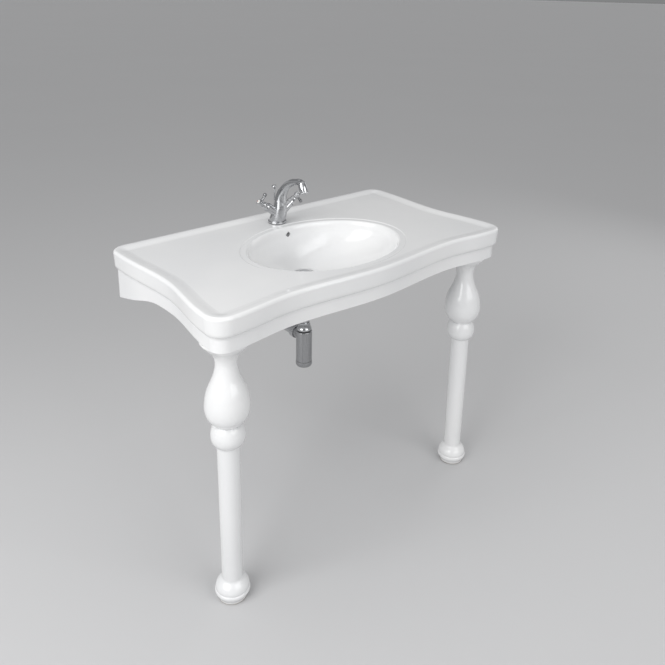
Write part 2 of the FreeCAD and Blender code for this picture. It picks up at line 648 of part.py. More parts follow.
def nozzle_frame():
    """The start and the direction of the nozzle at the spout's end."""
    tilt = math.radians(NOZZLE_TILT)
    direction = V(0, -math.sin(tilt), -math.cos(tilt))
    start = V(0, -TAP_FROM_WALL - SPOUT_REACH, TAP_Z + SPOUT_HEIGHT + 4.0)
    return start, direction


def arm_frame(side):
    """The start and the direction of a valve arm, hot on the left and cold on the right."""
    tilt = math.radians(ARM_TILT)
    root = V(0, -TAP_FROM_WALL - ARM_FORWARD, TAP_Z + ARM_ROOT_HEIGHT)
    return root, V(side * math.cos(tilt), 0, math.sin(tilt))


def along(frame, distance):
    return frame[0] + frame[1] * distance


def lift_rod_way(bottom, top):
    return cylinder(LIFT_ROD_RADIUS + LIFT_ROD_GAP, V(0, LIFT_Y, bottom), UP, top - bottom)


def tap_body():
    base = TAP_Z
    round_off = 1.5
    profile = lines((0, base), (TAP_BASE_RADIUS, base), (TAP_BASE_RADIUS, base + TAP_BASE_HEIGHT - round_off))
    profile += curve((TAP_BASE_RADIUS, base + TAP_BASE_HEIGHT - round_off),
                     (TAP_BASE_RADIUS - 0.45, base + TAP_BASE_HEIGHT - 0.45),
                     (TAP_BASE_RADIUS - round_off, base + TAP_BASE_HEIGHT))
    profile += lines((TAP_BASE_RADIUS - round_off, base + TAP_BASE_HEIGHT), (0, base + TAP_BASE_HEIGHT),
                     (0, base))
    body = turned(profile, 0, -TAP_FROM_WALL)
    start, direction = nozzle_frame()
    bell = lines((0, 0), (NOZZLE_RADIUS - 6, 0))
    bell += curve((NOZZLE_RADIUS - 6, 0), (NOZZLE_RADIUS - 2.5, 3), (NOZZLE_RADIUS - 0.6, 10),
                  (NOZZLE_RADIUS, 22), (NOZZLE_RADIUS - 1, NOZZLE_LENGTH))
    bell += lines((NOZZLE_RADIUS - 1, NOZZLE_LENGTH), (0, NOZZLE_LENGTH), (0, 0))
    nozzle = placed(turned(bell), start, direction)
    arms = []
    for side in (-1, 1):
        frame = arm_frame(side)
        arms.append(Part.makeCone(ARM_ROOT_RADIUS, ARM_RADIUS, ARM_LENGTH, frame[0], frame[1]))
        collar_at = along(frame, ARM_LENGTH - 4)
        arms.append(cylinder(ARM_RADIUS + 1.6, collar_at, frame[1], 4.0))
    body = body.multiFuse([spout(), nozzle] + arms)
    for side in (-1, 1):
        frame = arm_frame(side)
        body = body.cut(cylinder(CARTRIDGE_RADIUS, along(frame, ARM_LENGTH - CARTRIDGE_LENGTH / 2),
                                 frame[1], CARTRIDGE_LENGTH))
        inlet = V(side * INLET_HALF_SPACING, -TAP_FROM_WALL, base)
        body = body.cut(cylinder(INLET_RADIUS, inlet, UP, INLET_DEPTH))
    body = body.cut(cylinder(AERATOR_RADIUS, start + direction * (NOZZLE_LENGTH - AERATOR_LENGTH - 6.0),
                             direction, AERATOR_LENGTH + 8.0))
    stud_hole = V(0, -TAP_FROM_WALL - CLAMP_STUD_FORWARD, base)
    body = body.cut(cylinder(CLAMP_STUD_RADIUS, stud_hole, UP, INLET_DEPTH))
    body = body.cut(lift_rod_way(base - 1, base + SPOUT_HEIGHT))
    keep("tap_body", body.Solids[0])


def tap_outlet():
    """The aerator: a knurled housing in the nozzle and the mesh insert inside it."""
    start, direction = nozzle_frame()
    seat = start + direction * (NOZZLE_LENGTH - AERATOR_LENGTH - 6.0)
    housing = cylinder(AERATOR_RADIUS - THREAD_GAP, seat, direction, AERATOR_LENGTH + 6.0)
    lip = cylinder(NOZZLE_RADIUS - 0.5, start + direction * NOZZLE_LENGTH, direction, 3.0)
    bore = cylinder(AERATOR_RADIUS - 2.0, seat - direction, direction, AERATOR_LENGTH + 12.0)
    keep("aerator_housing", housing.fuse(lip).cut(bore))
    insert = cylinder(AERATOR_RADIUS - 2.1, seat + direction * 2.0, direction, AERATOR_LENGTH)
    holes = []
    for ring_radius, count in ((2.6, 6), (5.6, 12)):
        for k in range(count):
            angle = 2 * math.pi * k / count
            across = direction.cross(RIGHT) * math.sin(angle)
            offset = (RIGHT * math.cos(angle) + across) * ring_radius
            holes.append(cylinder(0.8, seat + offset, direction, AERATOR_LENGTH + 4.0))
    keep("aerator_insert", insert.cut(Part.makeCompound(holes)))


def valve(name, side):
    """One tap valve, all drawn along +Z from the arm's root and then carried onto the arm."""
    frame = arm_frame(side)
    end = ARM_LENGTH
    cartridge_from = end - CARTRIDGE_LENGTH / 2

    def on_arm(shape):
        return placed(shape, frame[0], frame[1])

    bonnet_top = end + BONNET_LENGTH
    edges = lines((CARTRIDGE_RADIUS + THREAD_GAP, end), (BONNET_RADIUS, end), (BONNET_RADIUS, end + 4))
    edges += curve((BONNET_RADIUS, end + 4), (BONNET_RADIUS - 1.8, end + 8),
                   (BONNET_RADIUS - 3.0, bonnet_top - 3))
    edges += lines((BONNET_RADIUS - 3.0, bonnet_top - 3), (BONNET_RADIUS - 4.5, bonnet_top),
                   (SPINDLE_RADIUS + 0.3, bonnet_top), (SPINDLE_RADIUS + 0.3, end + CARTRIDGE_LENGTH / 2),
                   (CARTRIDGE_RADIUS - 1.0, end + CARTRIDGE_LENGTH / 2), (CARTRIDGE_RADIUS - 1.0, end + 5),
                   (CARTRIDGE_RADIUS + THREAD_GAP, end + 5), (CARTRIDGE_RADIUS + THREAD_GAP, end))
    keep(name + "_bonnet", on_arm(turned(edges)))
    spindle_bore = SPINDLE_RADIUS + SPINDLE_GAP
    thick = cylinder(CARTRIDGE_RADIUS - THREAD_GAP, V(0, 0, cartridge_from), UP, CARTRIDGE_LENGTH / 2 + 4.9)
    slim = cylinder(CARTRIDGE_RADIUS - 1.2, V(0, 0, end + 4.9), UP, CARTRIDGE_LENGTH / 2 - 5.0)
    socket = cylinder(spindle_bore, V(0, 0, cartridge_from + 4), UP, CARTRIDGE_LENGTH)
    keep(name + "_cartridge", on_arm(thick.fuse(slim).cut(socket)))
    hub_from = bonnet_top + HANDLE_GAP
    hub_top = hub_from + HUB_LENGTH
    screw_seat = hub_top - 8.0
    spindle = cylinder(SPINDLE_RADIUS, V(0, 0, cartridge_from + 5), UP, screw_seat - 1 - cartridge_from - 5)
    tapped = cylinder(HANDLE_SCREW_RADIUS, V(0, 0, screw_seat - 10), UP, 10)
    keep(name + "_spindle", on_arm(spindle.cut(tapped)))
    spokes = [on_arm(spoke((hub_from + hub_top) / 2, 90 * k)) for k in range(4)]
    keep(name + "_handle", on_arm(handle_hub(hub_from, hub_top, screw_seat)).cut(Part.makeCompound(spokes)))
    keep(name + "_handle_spokes", *spokes)
    shank = cylinder(HANDLE_SCREW_RADIUS - SNUG_GAP, V(0, 0, screw_seat - 9), UP, 9)
    head = cylinder(HANDLE_SCREW_RADIUS + 1.6, V(0, 0, screw_seat), UP, 2.2)
    slot = block(-6, 6, -0.5, 0.5, screw_seat + 1.3, screw_seat + 3)
    keep(name + "_handle_screw", on_arm(shank.fuse(head).cut(slot)))
    dome = lines((0, hub_top - 3), (INDEX_RADIUS - THREAD_GAP, hub_top - 3),
                 (INDEX_RADIUS - THREAD_GAP, hub_top + 0.6))
    dome += curve((INDEX_RADIUS - THREAD_GAP, hub_top + 0.6), (INDEX_RADIUS - 2.2, hub_top + 1.8),
                  (0, hub_top + 2.3))
    dome += lines((0, hub_top + 2.3), (0, hub_top - 3))
    keep(name + "_index_cap", on_arm(turned(dome)))


def handle_hub(hub_from, hub_top, screw_seat):
    """The turned hub of a cross handle."""
    middle = (hub_from + hub_top) / 2
    edges = lines((SPINDLE_RADIUS + SNUG_GAP, hub_from), (HUB_RADIUS - 2, hub_from))
    edges += curve((HUB_RADIUS - 2, hub_from), (HUB_RADIUS - 2.6, hub_from + 4), (HUB_RADIUS, middle),
                   (HUB_RADIUS - 0.6, hub_top - 4), (HUB_RADIUS - 1.2, hub_top))
    edges += lines((HUB_RADIUS - 1.2, hub_top), (INDEX_RADIUS, hub_top), (INDEX_RADIUS, hub_top - 3),
                   (HANDLE_SCREW_RADIUS + 1.9, hub_top - 3), (HANDLE_SCREW_RADIUS + 1.9, screw_seat),
                   (HANDLE_SCREW_RADIUS + THREAD_GAP, screw_seat),
                   (HANDLE_SCREW_RADIUS + THREAD_GAP, screw_seat - 1),
                   (SPINDLE_RADIUS + SNUG_GAP, screw_seat - 1), (SPINDLE_RADIUS + SNUG_GAP, hub_from))
    return turned(edges)


def spoke(height, angle):
    """One ball-ended spoke of a cross handle, from its root inside the hub."""
    ball_at = SPOKE_REACH - SPOKE_BALL_RADIUS
    root = HUB_RADIUS - 3.0
    stem = Part.makeCone(SPOKE_RADIUS + 0.9, SPOKE_RADIUS, ball_at - root, V(root, 0, height), RIGHT)
    bead = cylinder(SPOKE_RADIUS + 1.2, V(ball_at - SPOKE_BALL_RADIUS - 0.6, 0, height), RIGHT, 1.8)
    whole = stem.multiFuse([bead, Part.makeSphere(SPOKE_BALL_RADIUS, V(ball_at, 0, height))])
    whole.rotate(V(0, 0, 0), UP, angle)
    return whole


def tap_mounting():
    """The gasket on the deck and the stud, horseshoe seal, plate and nut below it."""
    axis = V(0, -TAP_FROM_WALL, DECK_Z)
    gasket = tube(TAP_BASE_RADIUS - 1.5, TAP_HOLE_RADIUS, axis, UP, TAP_GASKET)
    keep("tap_gasket", gasket)
    stud_at = V(0, -TAP_FROM_WALL - CLAMP_STUD_FORWARD, TAP_Z + INLET_DEPTH - 1)
    keep("tap_stud", cylinder(CLAMP_STUD_RADIUS - SNUG_GAP, stud_at, -UP, CLAMP_STUD_LENGTH))
    notch = block(-CLAMP_NOTCH_HALF_WIDTH, CLAMP_NOTCH_HALF_WIDTH, -TAP_FROM_WALL - CLAMP_NOTCH_FORWARD, 0,
                  SOFFIT_Z - 30, SOFFIT_Z + 10)
    stud_hole = cylinder(CLAMP_STUD_RADIUS + FIXING_GAP, V(0, stud_at.y, SOFFIT_Z - 30), UP, 40)

    def horseshoe(top, thickness):
        disc = cylinder(CLAMP_PLATE_RADIUS, V(0, -TAP_FROM_WALL, top), -UP, thickness)
        return disc.cut(notch).cut(stud_hole)

    keep("tap_horseshoe_seal", horseshoe(SOFFIT_Z, CLAMP_SEAL_THICKNESS))
    plate_top = SOFFIT_Z - CLAMP_SEAL_THICKNESS
    keep("tap_horseshoe_plate", horseshoe(plate_top, CLAMP_PLATE_THICKNESS))
    nut = hexagon(2 * CLAMP_NUT_RADIUS - 3, V(0, stud_at.y, plate_top - CLAMP_PLATE_THICKNESS), -UP,
                  CLAMP_NUT_HEIGHT)
    keep("tap_stud_nut", nut.cut(stud_hole))


# ---- pop-up linkage ----------------------------------------------------------------------------------------
def linkage():
    bottom = DECK_Z - ROD_END_BELOW_DECK - 8.0
    knob_top = DECK_Z + KNOB_TOP
    knob_base = knob_top - KNOB_HEIGHT
    keep("lift_rod", cylinder(LIFT_ROD_RADIUS, V(0, LIFT_Y, bottom), UP, knob_base + 6.0 - bottom))
    edges = lines((LIFT_ROD_RADIUS, knob_base), (LIFT_ROD_RADIUS + 2.0, knob_base))
    edges += curve((LIFT_ROD_RADIUS + 2.0, knob_base), (LIFT_ROD_RADIUS + 2.4, knob_base + 3),
                   (KNOB_RADIUS, knob_base + 7), (KNOB_RADIUS - 1.2, knob_base + 10), (0, knob_top))
    edges += lines((0, knob_top), (0, knob_base + 6), (LIFT_ROD_RADIUS, knob_base + 6),
                   (LIFT_ROD_RADIUS, knob_base))
    keep("lift_knob", turned(edges, 0, LIFT_Y))
    clamp = block(-STRAP_HALF_WIDTH, STRAP_HALF_WIDTH, STRAP_Y - CLAMP_BLOCK_DEPTH, STRAP_Y,
                  STRAP_TOP_Z - CLAMP_BLOCK_HEIGHT, STRAP_TOP_Z)
    clamp = clamp.cut(cylinder(LIFT_ROD_RADIUS, V(0, LIFT_Y, bottom), UP, 60))
    strap = block(-STRAP_HALF_WIDTH, STRAP_HALF_WIDTH, STRAP_Y, STRAP_Y + STRAP_THICKNESS,
                  STRAP_TOP_Z - STRAP_LENGTH, STRAP_TOP_Z)
    pivot_hole_z = lever_z(STRAP_Y + STRAP_THICKNESS / 2)
    for k in range(-2, 3):
        hole = V(0, STRAP_Y - 1, pivot_hole_z + STRAP_HOLE_PITCH * k)
        radius = PIVOT_ROD_RADIUS + STRAP_HOLE_GAP
        lowest = STRAP_TOP_Z - STRAP_LENGTH + 2 + radius
        highest = STRAP_TOP_Z - CLAMP_BLOCK_HEIGHT - radius
        if lowest < hole.z < highest:
            strap = strap.cut(cylinder(radius, hole, BACK, STRAP_THICKNESS + 2))
    screws = []
    for side in (-1, 1):
        at = V(side * STRAP_HALF_WIDTH * 0.675, STRAP_Y + STRAP_THICKNESS,
               STRAP_TOP_Z - CLAMP_BLOCK_HEIGHT / 2)
        hole = cylinder(STRAP_SCREW_RADIUS, at, -BACK, 8.0)
        clamp = clamp.cut(hole)
        strap = strap.cut(hole)
        shank = cylinder(STRAP_SCREW_RADIUS - SNUG_GAP, at, -BACK, 7.5)
        screws.append(shank.fuse(cylinder(STRAP_SCREW_RADIUS + 1.1, at, BACK, 1.6)))
    keep("linkage_clamp", clamp)
    keep("linkage_strap", strap)
    keep("linkage_screws", *screws)
    ball = V(0, PIVOT_Y, PIVOT_Z)
    rod = cylinder(PIVOT_ROD_RADIUS, V(0, -PIVOT_ROD_INNER, 0), BACK,
                   PIVOT_ROD_INNER + LEVER_OUT + PIVOT_ROD_TAIL)
    rod = rod.fuse(Part.makeSphere(PIVOT_BALL_RADIUS))
    rod.rotate(V(0, 0, 0), RIGHT, -math.degrees(LEVER_TURN) / 2)
    rod.translate(ball)
    keep("pivot_rod", rod)


def lever_z(y):
    """Height of the pivot rod's axis at a distance from the wall, with the knob down."""
    return PIVOT_Z - (y - PIVOT_Y) * math.tan(LEVER_TURN / 2)


# ---- waste -------------------------------------------------------------------------------------------------
def waste():
    axis = V(0, -DRAIN_FROM_WALL, 0)

    def at(z):
        return axis + V(0, 0, z)

    top = SEAT_Z + FLANGE_THICKNESS
    tube_end = SEAT_Z - WASTE_TUBE_LENGTH
    edges = lines((WASTE_BORE_RADIUS, tube_end), (WASTE_TUBE_RADIUS, tube_end),
                  (WASTE_TUBE_RADIUS, SEAT_Z + 1),
                  (FLANGE_RADIUS, SEAT_Z + 1))
    edges += curve((FLANGE_RADIUS, SEAT_Z + 1), (FLANGE_RADIUS - 1.5, top - 0.4), (FLANGE_RADIUS - 5, top),
                   (PLUG_RADIUS + 4, top - 0.6), (WASTE_BORE_RADIUS, SEAT_Z - 1))
    edges += lines((WASTE_BORE_RADIUS, SEAT_Z - 1), (WASTE_BORE_RADIUS, tube_end))
    flange = turned(edges, 0, -DRAIN_FROM_WALL)
    slot_z = BOSS_BASE_Z + DUCT_WALL + 1
    for angle in (0, 90):
        slot = block(-6, 6, -WASTE_TUBE_RADIUS - 3, WASTE_TUBE_RADIUS + 3, slot_z, slot_z + DUCT_DEPTH - 2)
        slot.rotate(V(0, 0, 0), UP, angle)
        slot.translate(axis)
        flange = flange.cut(slot)
    keep("waste_flange", flange)
    keep("waste_top_seal", tube(WASTE_SEAL_RADIUS - 1, WASTE_TUBE_RADIUS + THREAD_GAP, at(SEAT_Z), UP, 1.0))
    seal_inner = WASTE_TUBE_RADIUS + THREAD_GAP
    keep("waste_back_seal", tube(WASTE_SEAL_RADIUS, seal_inner, at(BOSS_BASE_Z), -UP, SEAL_THICKNESS))
    nut_top = BOSS_BASE_Z - SEAL_THICKNESS
    nut = hexagon(2 * BACK_NUT_RADIUS - 4, at(nut_top), -UP, BACK_NUT_HEIGHT)
    keep("waste_back_nut", nut.cut(cylinder(seal_inner, at(nut_top + 1), -UP, BACK_NUT_HEIGHT + 2)))
    waste_tee(tube_end)
    plug()


def waste_tee(tube_end):
    """The body below the flange tube, with the side port of the pivot ball and the tail for the trap."""
    top = tube_end + TEE_OVERLAP
    bottom = top - TEE_LENGTH
    socket_r = WASTE_TUBE_RADIUS + THREAD_GAP
    edges = lines((socket_r, top), (TEE_RADIUS, top), (TEE_RADIUS, bottom + 8))
    edges += curve((TEE_RADIUS, bottom + 8), (TEE_RADIUS - 2, bottom + 3), (TEE_TAIL_RADIUS, bottom))
    edges += lines((TEE_TAIL_RADIUS, bottom), (TEE_TAIL_RADIUS, bottom - TEE_TAIL_LENGTH),
                   (TEE_TAIL_RADIUS - 2, bottom - TEE_TAIL_LENGTH), (TEE_TAIL_RADIUS - 2, bottom + 2),
                   (WASTE_BORE_RADIUS, bottom + 8), (WASTE_BORE_RADIUS, tube_end), (socket_r, tube_end),
                   (socket_r, top))
    tee = turned(edges, 0, -DRAIN_FROM_WALL)
    port_from = V(0, -DRAIN_FROM_WALL + WASTE_BORE_RADIUS + 0.5, PIVOT_Z)
    port_length = PIVOT_Y + PIVOT_BALL_RADIUS + 1.0 - port_from.y
    tee = tee.fuse(cylinder(PORT_RADIUS, port_from, BACK, port_length))
    bore = cylinder(PIVOT_BALL_RADIUS + PIVOT_BALL_GAP, V(0, -DRAIN_FROM_WALL + 10, PIVOT_Z), BACK, 60)
    keep("waste_tee", tee.cut(bore))
    nut_from = V(0, -DRAIN_FROM_WALL + TEE_RADIUS + 0.3, PIVOT_Z)
    shell = hexagon(2 * PIVOT_NUT_RADIUS - 3, nut_from, BACK, PIVOT_NUT_LENGTH)
    thread = cylinder(PORT_RADIUS + THREAD_GAP, nut_from - BACK, BACK,
                      PIVOT_Y + PIVOT_BALL_RADIUS + 1.1 - nut_from.y + 1)
    mouth = Part.makeCone(PIVOT_ROD_RADIUS + 1.6, PIVOT_ROD_RADIUS + 4.0, 16, V(0, PIVOT_Y + 3, PIVOT_Z),
                          BACK)
    keep("pivot_nut", shell.cut(thread).cut(mouth))


def plug():
    """The pop-up plug, raised at rest, with its seal and the eye that the pivot rod passes through."""
    raise_by = PLUG_TRAVEL + PLUG_SEAT_GAP
    rim_z = SEAT_Z + FLANGE_THICKNESS - 2.0 + raise_by
    eye_z = PIVOT_Z + PIVOT_FROM_AXIS * math.tan(LEVER_TURN / 2)
    edges = lines((0, rim_z), (PLUG_RADIUS - 3.5, rim_z), (PLUG_RADIUS - 3.5, rim_z + 0.8),
                  (PLUG_RADIUS, rim_z + 0.8),
                  (PLUG_RADIUS, rim_z + 2.0))
    edges += curve((PLUG_RADIUS, rim_z + 2.0), (PLUG_RADIUS - 1.5, rim_z + 3.2),
                   (PLUG_RADIUS - 6, rim_z + 4.3),
                   (0, rim_z + PLUG_CAP))
    edges += lines((0, rim_z + PLUG_CAP), (0, rim_z))
    cap = turned(edges, 0, -DRAIN_FROM_WALL)
    stem = cylinder(PLUG_STEM_RADIUS, V(0, -DRAIN_FROM_WALL, eye_z + 4), UP, rim_z + 0.5 - eye_z - 4)
    eye = cylinder(7.0, V(0, -DRAIN_FROM_WALL - 2, eye_z), BACK, 4.0)
    hole = cylinder(PIVOT_ROD_RADIUS + PLUG_EYE_GAP, V(0, -DRAIN_FROM_WALL - 5, eye_z), BACK, 10.0)
    keep("plug", cap.multiFuse([stem, eye]).cut(hole))
    seal = tube(PLUG_RADIUS - 3.6, PLUG_STEM_RADIUS + THREAD_GAP,
                V(0, -DRAIN_FROM_WALL, rim_z - PLUG_SEAL_THICKNESS), UP,
                PLUG_SEAL_THICKNESS)
    keep("plug_seal", seal)


# ---- trap --------------------------------------------------------------------------------------------------
def trap():
    axis = V(0, -DRAIN_FROM_WALL, 0)

    def at(z):
        return axis + V(0, 0, z)

    seal_z = TEE_TAIL_Z - COUPLING_SEAL
    keep("trap_coupling_seal", tube(TEE_TAIL_RADIUS - 0.2, DIP_TUBE_RADIUS, at(seal_z), UP, COUPLING_SEAL))
    lip_z = seal_z - DIP_TUBE_LIP
    base = TRAP_TOP_Z - TRAP_LENGTH
    inner = DIP_TUBE_RADIUS - TUBE_WALL
    dip_end = base + DIP_END_ABOVE_BASE
    dip = tube(DIP_TUBE_RADIUS, inner, at(dip_end), UP, seal_z - dip_end)
    keep("trap_inlet_tube", dip.fuse(tube(TEE_TAIL_RADIUS - 0.2, inner, at(lip_z), UP, DIP_TUBE_LIP)))
    nut = cylinder(COUPLING_NUT_RADIUS, at(COUPLING_NUT_Z), UP, COUPLING_NUT_HEIGHT)
    nut = nut.common(hexagon(2 * COUPLING_NUT_RADIUS - 2.5, at(COUPLING_NUT_Z), UP, COUPLING_NUT_HEIGHT))
    nut = nut.cut(cylinder(TEE_TAIL_RADIUS + THREAD_GAP, at(lip_z), UP, COUPLING_NUT_HEIGHT))
    bore = cylinder(DIP_TUBE_RADIUS + THREAD_GAP, at(COUPLING_NUT_Z - 1), UP, COUPLING_NUT_HEIGHT)
    keep("trap_coupling_nut", nut.cut(bore))
    trap_bottle(base)
    trap_collar()
    trap_outlet()


def trap_bottle(base):
    """The bottle with its side outlet, and the cup that unscrews from its foot."""
    split = base + TRAP_CAP_HEIGHT
    top = TRAP_TOP_Z
    inside = TRAP_RADIUS - TRAP_WALL
    mouth = COLLAR_TOP_RADIUS + 1.0
    edges = lines((inside, split), (TRAP_RADIUS, split), (TRAP_RADIUS, top - 3))
    edges += curve((TRAP_RADIUS, top - 3), (TRAP_RADIUS - 0.9, top - 0.9), (TRAP_RADIUS - 3, top))
    edges += lines((TRAP_RADIUS - 3, top), (mouth, top), (mouth, top - 3), (inside, top - 3), (inside, split))
    bottle = turned(edges, 0, -DRAIN_FROM_WALL)
    stub_from = V(0, -DRAIN_FROM_WALL + inside - 4, OUTLET_Z)
    stub_length = OUTLET_STUB - inside + 4
    hole = cylinder(OUTLET_RADIUS + THREAD_GAP, stub_from, BACK, stub_length + 1)
    stub = cylinder(OUTLET_RADIUS + 2.0, stub_from, BACK, stub_length)
    cavity = cylinder(inside, V(0, -DRAIN_FROM_WALL, split), UP, top - 3 - split)
    keep("trap_bottle", bottle.fuse(stub.cut(cavity)).cut(hole))
    edges = lines((0, base), (TRAP_RADIUS - 5, base))
    edges += curve((TRAP_RADIUS - 5, base), (TRAP_RADIUS - 1.6, base + 1.6), (TRAP_RADIUS, base + 5))
    edges += lines((TRAP_RADIUS, base + 5), (TRAP_RADIUS, split - 1.0), (inside - THREAD_GAP, split - 1.0),
                   (inside - THREAD_GAP, split + 8), (inside - 2.0, split + 8), (inside - 2.0, base + 6),
                   (inside - 5.0, base + 3), (0, base + 3), (0, base))
    keep("trap_cup", turned(edges, 0, -DRAIN_FROM_WALL))
    seal = tube(TRAP_RADIUS - 0.6, inside - THREAD_GAP, V(0, -DRAIN_FROM_WALL, split - 1.0), UP, 1.0)
    keep("trap_cup_seal", seal)


def trap_collar():
    """The flared collar nut that closes the bottle round the inlet tube, and its seal."""
    base = TRAP_TOP_Z + COLLAR_GROOVE
    top = base + COLLAR_HEIGHT
    bore = DIP_TUBE_RADIUS + THREAD_GAP
    neck = COLLAR_TOP_RADIUS + 0.9
    edges = lines((bore, top), (COLLAR_TOP_RADIUS, top), (COLLAR_TOP_RADIUS, top - 5),
                  (COLLAR_TOP_RADIUS + 1.5, top - 6))
    edges += curve((COLLAR_TOP_RADIUS + 1.5, top - 6), (COLLAR_TOP_RADIUS + 2.6, top - 11),
                   (COLLAR_RADIUS, base + 7))
    edges += lines((COLLAR_RADIUS, base + 7), (COLLAR_RADIUS, base + 1), (COLLAR_RADIUS - 1, base),
                   (neck, base),
                   (neck, TRAP_TOP_Z - 6), (bore, TRAP_TOP_Z - 6), (bore, top))
    keep("trap_collar", turned(edges, 0, -DRAIN_FROM_WALL))
    seal = tube(COLLAR_RADIUS - 2, neck + THREAD_GAP, V(0, -DRAIN_FROM_WALL, TRAP_TOP_Z), UP, COLLAR_GROOVE)
    keep("trap_collar_seal", seal)


def trap_outlet():
    """The slip nut, the pipe to the wall and the plate that hides the hole in the wall."""
    stub_end = OUTLET_STUB - DRAIN_FROM_WALL
    nut_from = stub_end - OUTLET_NUT_LENGTH + 6.0
    shell = cylinder(OUTLET_NUT_RADIUS, V(0, nut_from, OUTLET_Z), BACK, OUTLET_NUT_LENGTH)
    stub_bore = cylinder(OUTLET_RADIUS + 2.1, V(0, nut_from - 1, OUTLET_Z), BACK,
                         stub_end + 3.0 - nut_from + 1)
    pipe_bore = cylinder(OUTLET_RADIUS + THREAD_GAP, V(0, nut_from - 1, OUTLET_Z), BACK,
                         OUTLET_NUT_LENGTH + 2)
    keep("trap_outlet_nut", shell.cut(stub_bore).cut(pipe_bore))
    keep("trap_outlet_seal", tube(OUTLET_RADIUS + 2.0, OUTLET_RADIUS + SNUG_GAP, V(0, stub_end, OUTLET_Z),
                                  BACK, 3.0))
    pipe_from = stub_end - 20.0
    pipe = cylinder(OUTLET_RADIUS, V(0, pipe_from, OUTLET_Z), BACK, -pipe_from)
    spigot = cylinder(SPIGOT_RADIUS, V(0, 0, OUTLET_Z), BACK, OUTLET_EMBED)
    bore = cylinder(OUTLET_RADIUS - TUBE_WALL, V(0, pipe_from - 1, OUTLET_Z), BACK,
                    OUTLET_EMBED - pipe_from + 2)
    keep("trap_outlet_pipe", pipe.fuse(spigot).cut(bore))
    edges = lines((OUTLET_RADIUS + THREAD_GAP, 0), (ESCUTCHEON_RADIUS, 0))
    edges += curve((ESCUTCHEON_RADIUS, 0), (ESCUTCHEON_RADIUS - 1.5, 2.5), (OUTLET_RADIUS + 9, 6),
                   (OUTLET_RADIUS + 3, ESCUTCHEON_DEPTH))
    edges += lines((OUTLET_RADIUS + 3, ESCUTCHEON_DEPTH), (OUTLET_RADIUS + THREAD_GAP, ESCUTCHEON_DEPTH),
                   (OUTLET_RADIUS + THREAD_GAP, 0))
    keep("wall_escutcheon", placed(turned(edges), V(0, 0, OUTLET_Z), -BACK))


def main():
    basin()
    legs()
    wall_fixings()
    tap_body()
    tap_outlet()
    valve("hot", -1)
    valve("cold", 1)
    tap_mounting()
    linkage()
    waste()
    trap()
    os.makedirs("parts", exist_ok=True)
    for name, shape in PARTS.items():
        moved = shape.copy()
        moved.translate(V(0, 0, 0) - ORIGIN)
        moved.exportStep(os.path.join("parts", name + ".step"))


main()
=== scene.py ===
"""Dresses a console washbasin on two turned legs, with its tap, pop-up waste and bottle trap.

It is laid out as an add-on: property groups hold the colours and the sizes, each operator finishes or makes
one group of pieces, and a panel lists the operators. Lengths are in metres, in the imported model's own frame:
+Z is up, the user stands on the -Y side and the wall is on the +Y side.
"""

import math

import bpy
from bpy.props import FloatProperty, FloatVectorProperty, IntProperty, PointerProperty
from bpy.types import Operator, Panel, PropertyGroup
from mathutils import Matrix, Vector


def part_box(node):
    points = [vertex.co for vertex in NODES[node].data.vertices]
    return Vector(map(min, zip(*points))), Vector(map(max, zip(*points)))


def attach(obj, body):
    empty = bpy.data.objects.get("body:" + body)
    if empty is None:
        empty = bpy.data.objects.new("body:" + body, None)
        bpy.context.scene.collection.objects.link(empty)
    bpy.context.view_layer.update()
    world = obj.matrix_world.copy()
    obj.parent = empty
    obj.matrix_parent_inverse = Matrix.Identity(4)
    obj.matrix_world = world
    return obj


bl_info = {
    "name": "Console Washbasin Dressing",
    "version": (1, 0, 0),
    "blender": (4, 5, 0),
    "location": "View3D > Sidebar > Washbasin",
    "description": "Glaze, plate and fine trim for a console washbasin, with a studio stage",
    "category": "Object",
}

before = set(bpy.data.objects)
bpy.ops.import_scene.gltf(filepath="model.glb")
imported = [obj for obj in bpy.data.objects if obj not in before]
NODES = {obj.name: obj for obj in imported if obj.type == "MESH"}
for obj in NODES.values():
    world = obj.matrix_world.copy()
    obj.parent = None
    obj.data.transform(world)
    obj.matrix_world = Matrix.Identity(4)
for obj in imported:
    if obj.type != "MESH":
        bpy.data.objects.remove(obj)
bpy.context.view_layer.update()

MM = 0.001
UP = Vector((0.0, 0.0, 1.0))
BACK = Vector((0.0, 1.0, 0.0))
PHOTO_SIDE = 665.0  # the picture is this many pixels wide and high


# ---- settings ----------------------------------------------------------------------------------------------
def colour(name, description, default):
    """A colour property in linear red, green and blue."""
    return FloatVectorProperty(name=name, description=description, default=default, subtype="COLOR",
                               size=3, min=0.0, max=1.0)


def share(name, description, default):
    """A property that runs from 0 to 1."""
    return FloatProperty(name=name, description=description, default=default, min=0.0, max=1.0,
                         subtype="FACTOR")


def size(name, description, default):
    """A length in metres."""
    return FloatProperty(name=name, description=description, default=default, min=0.0, unit="LENGTH",
                         precision=5)


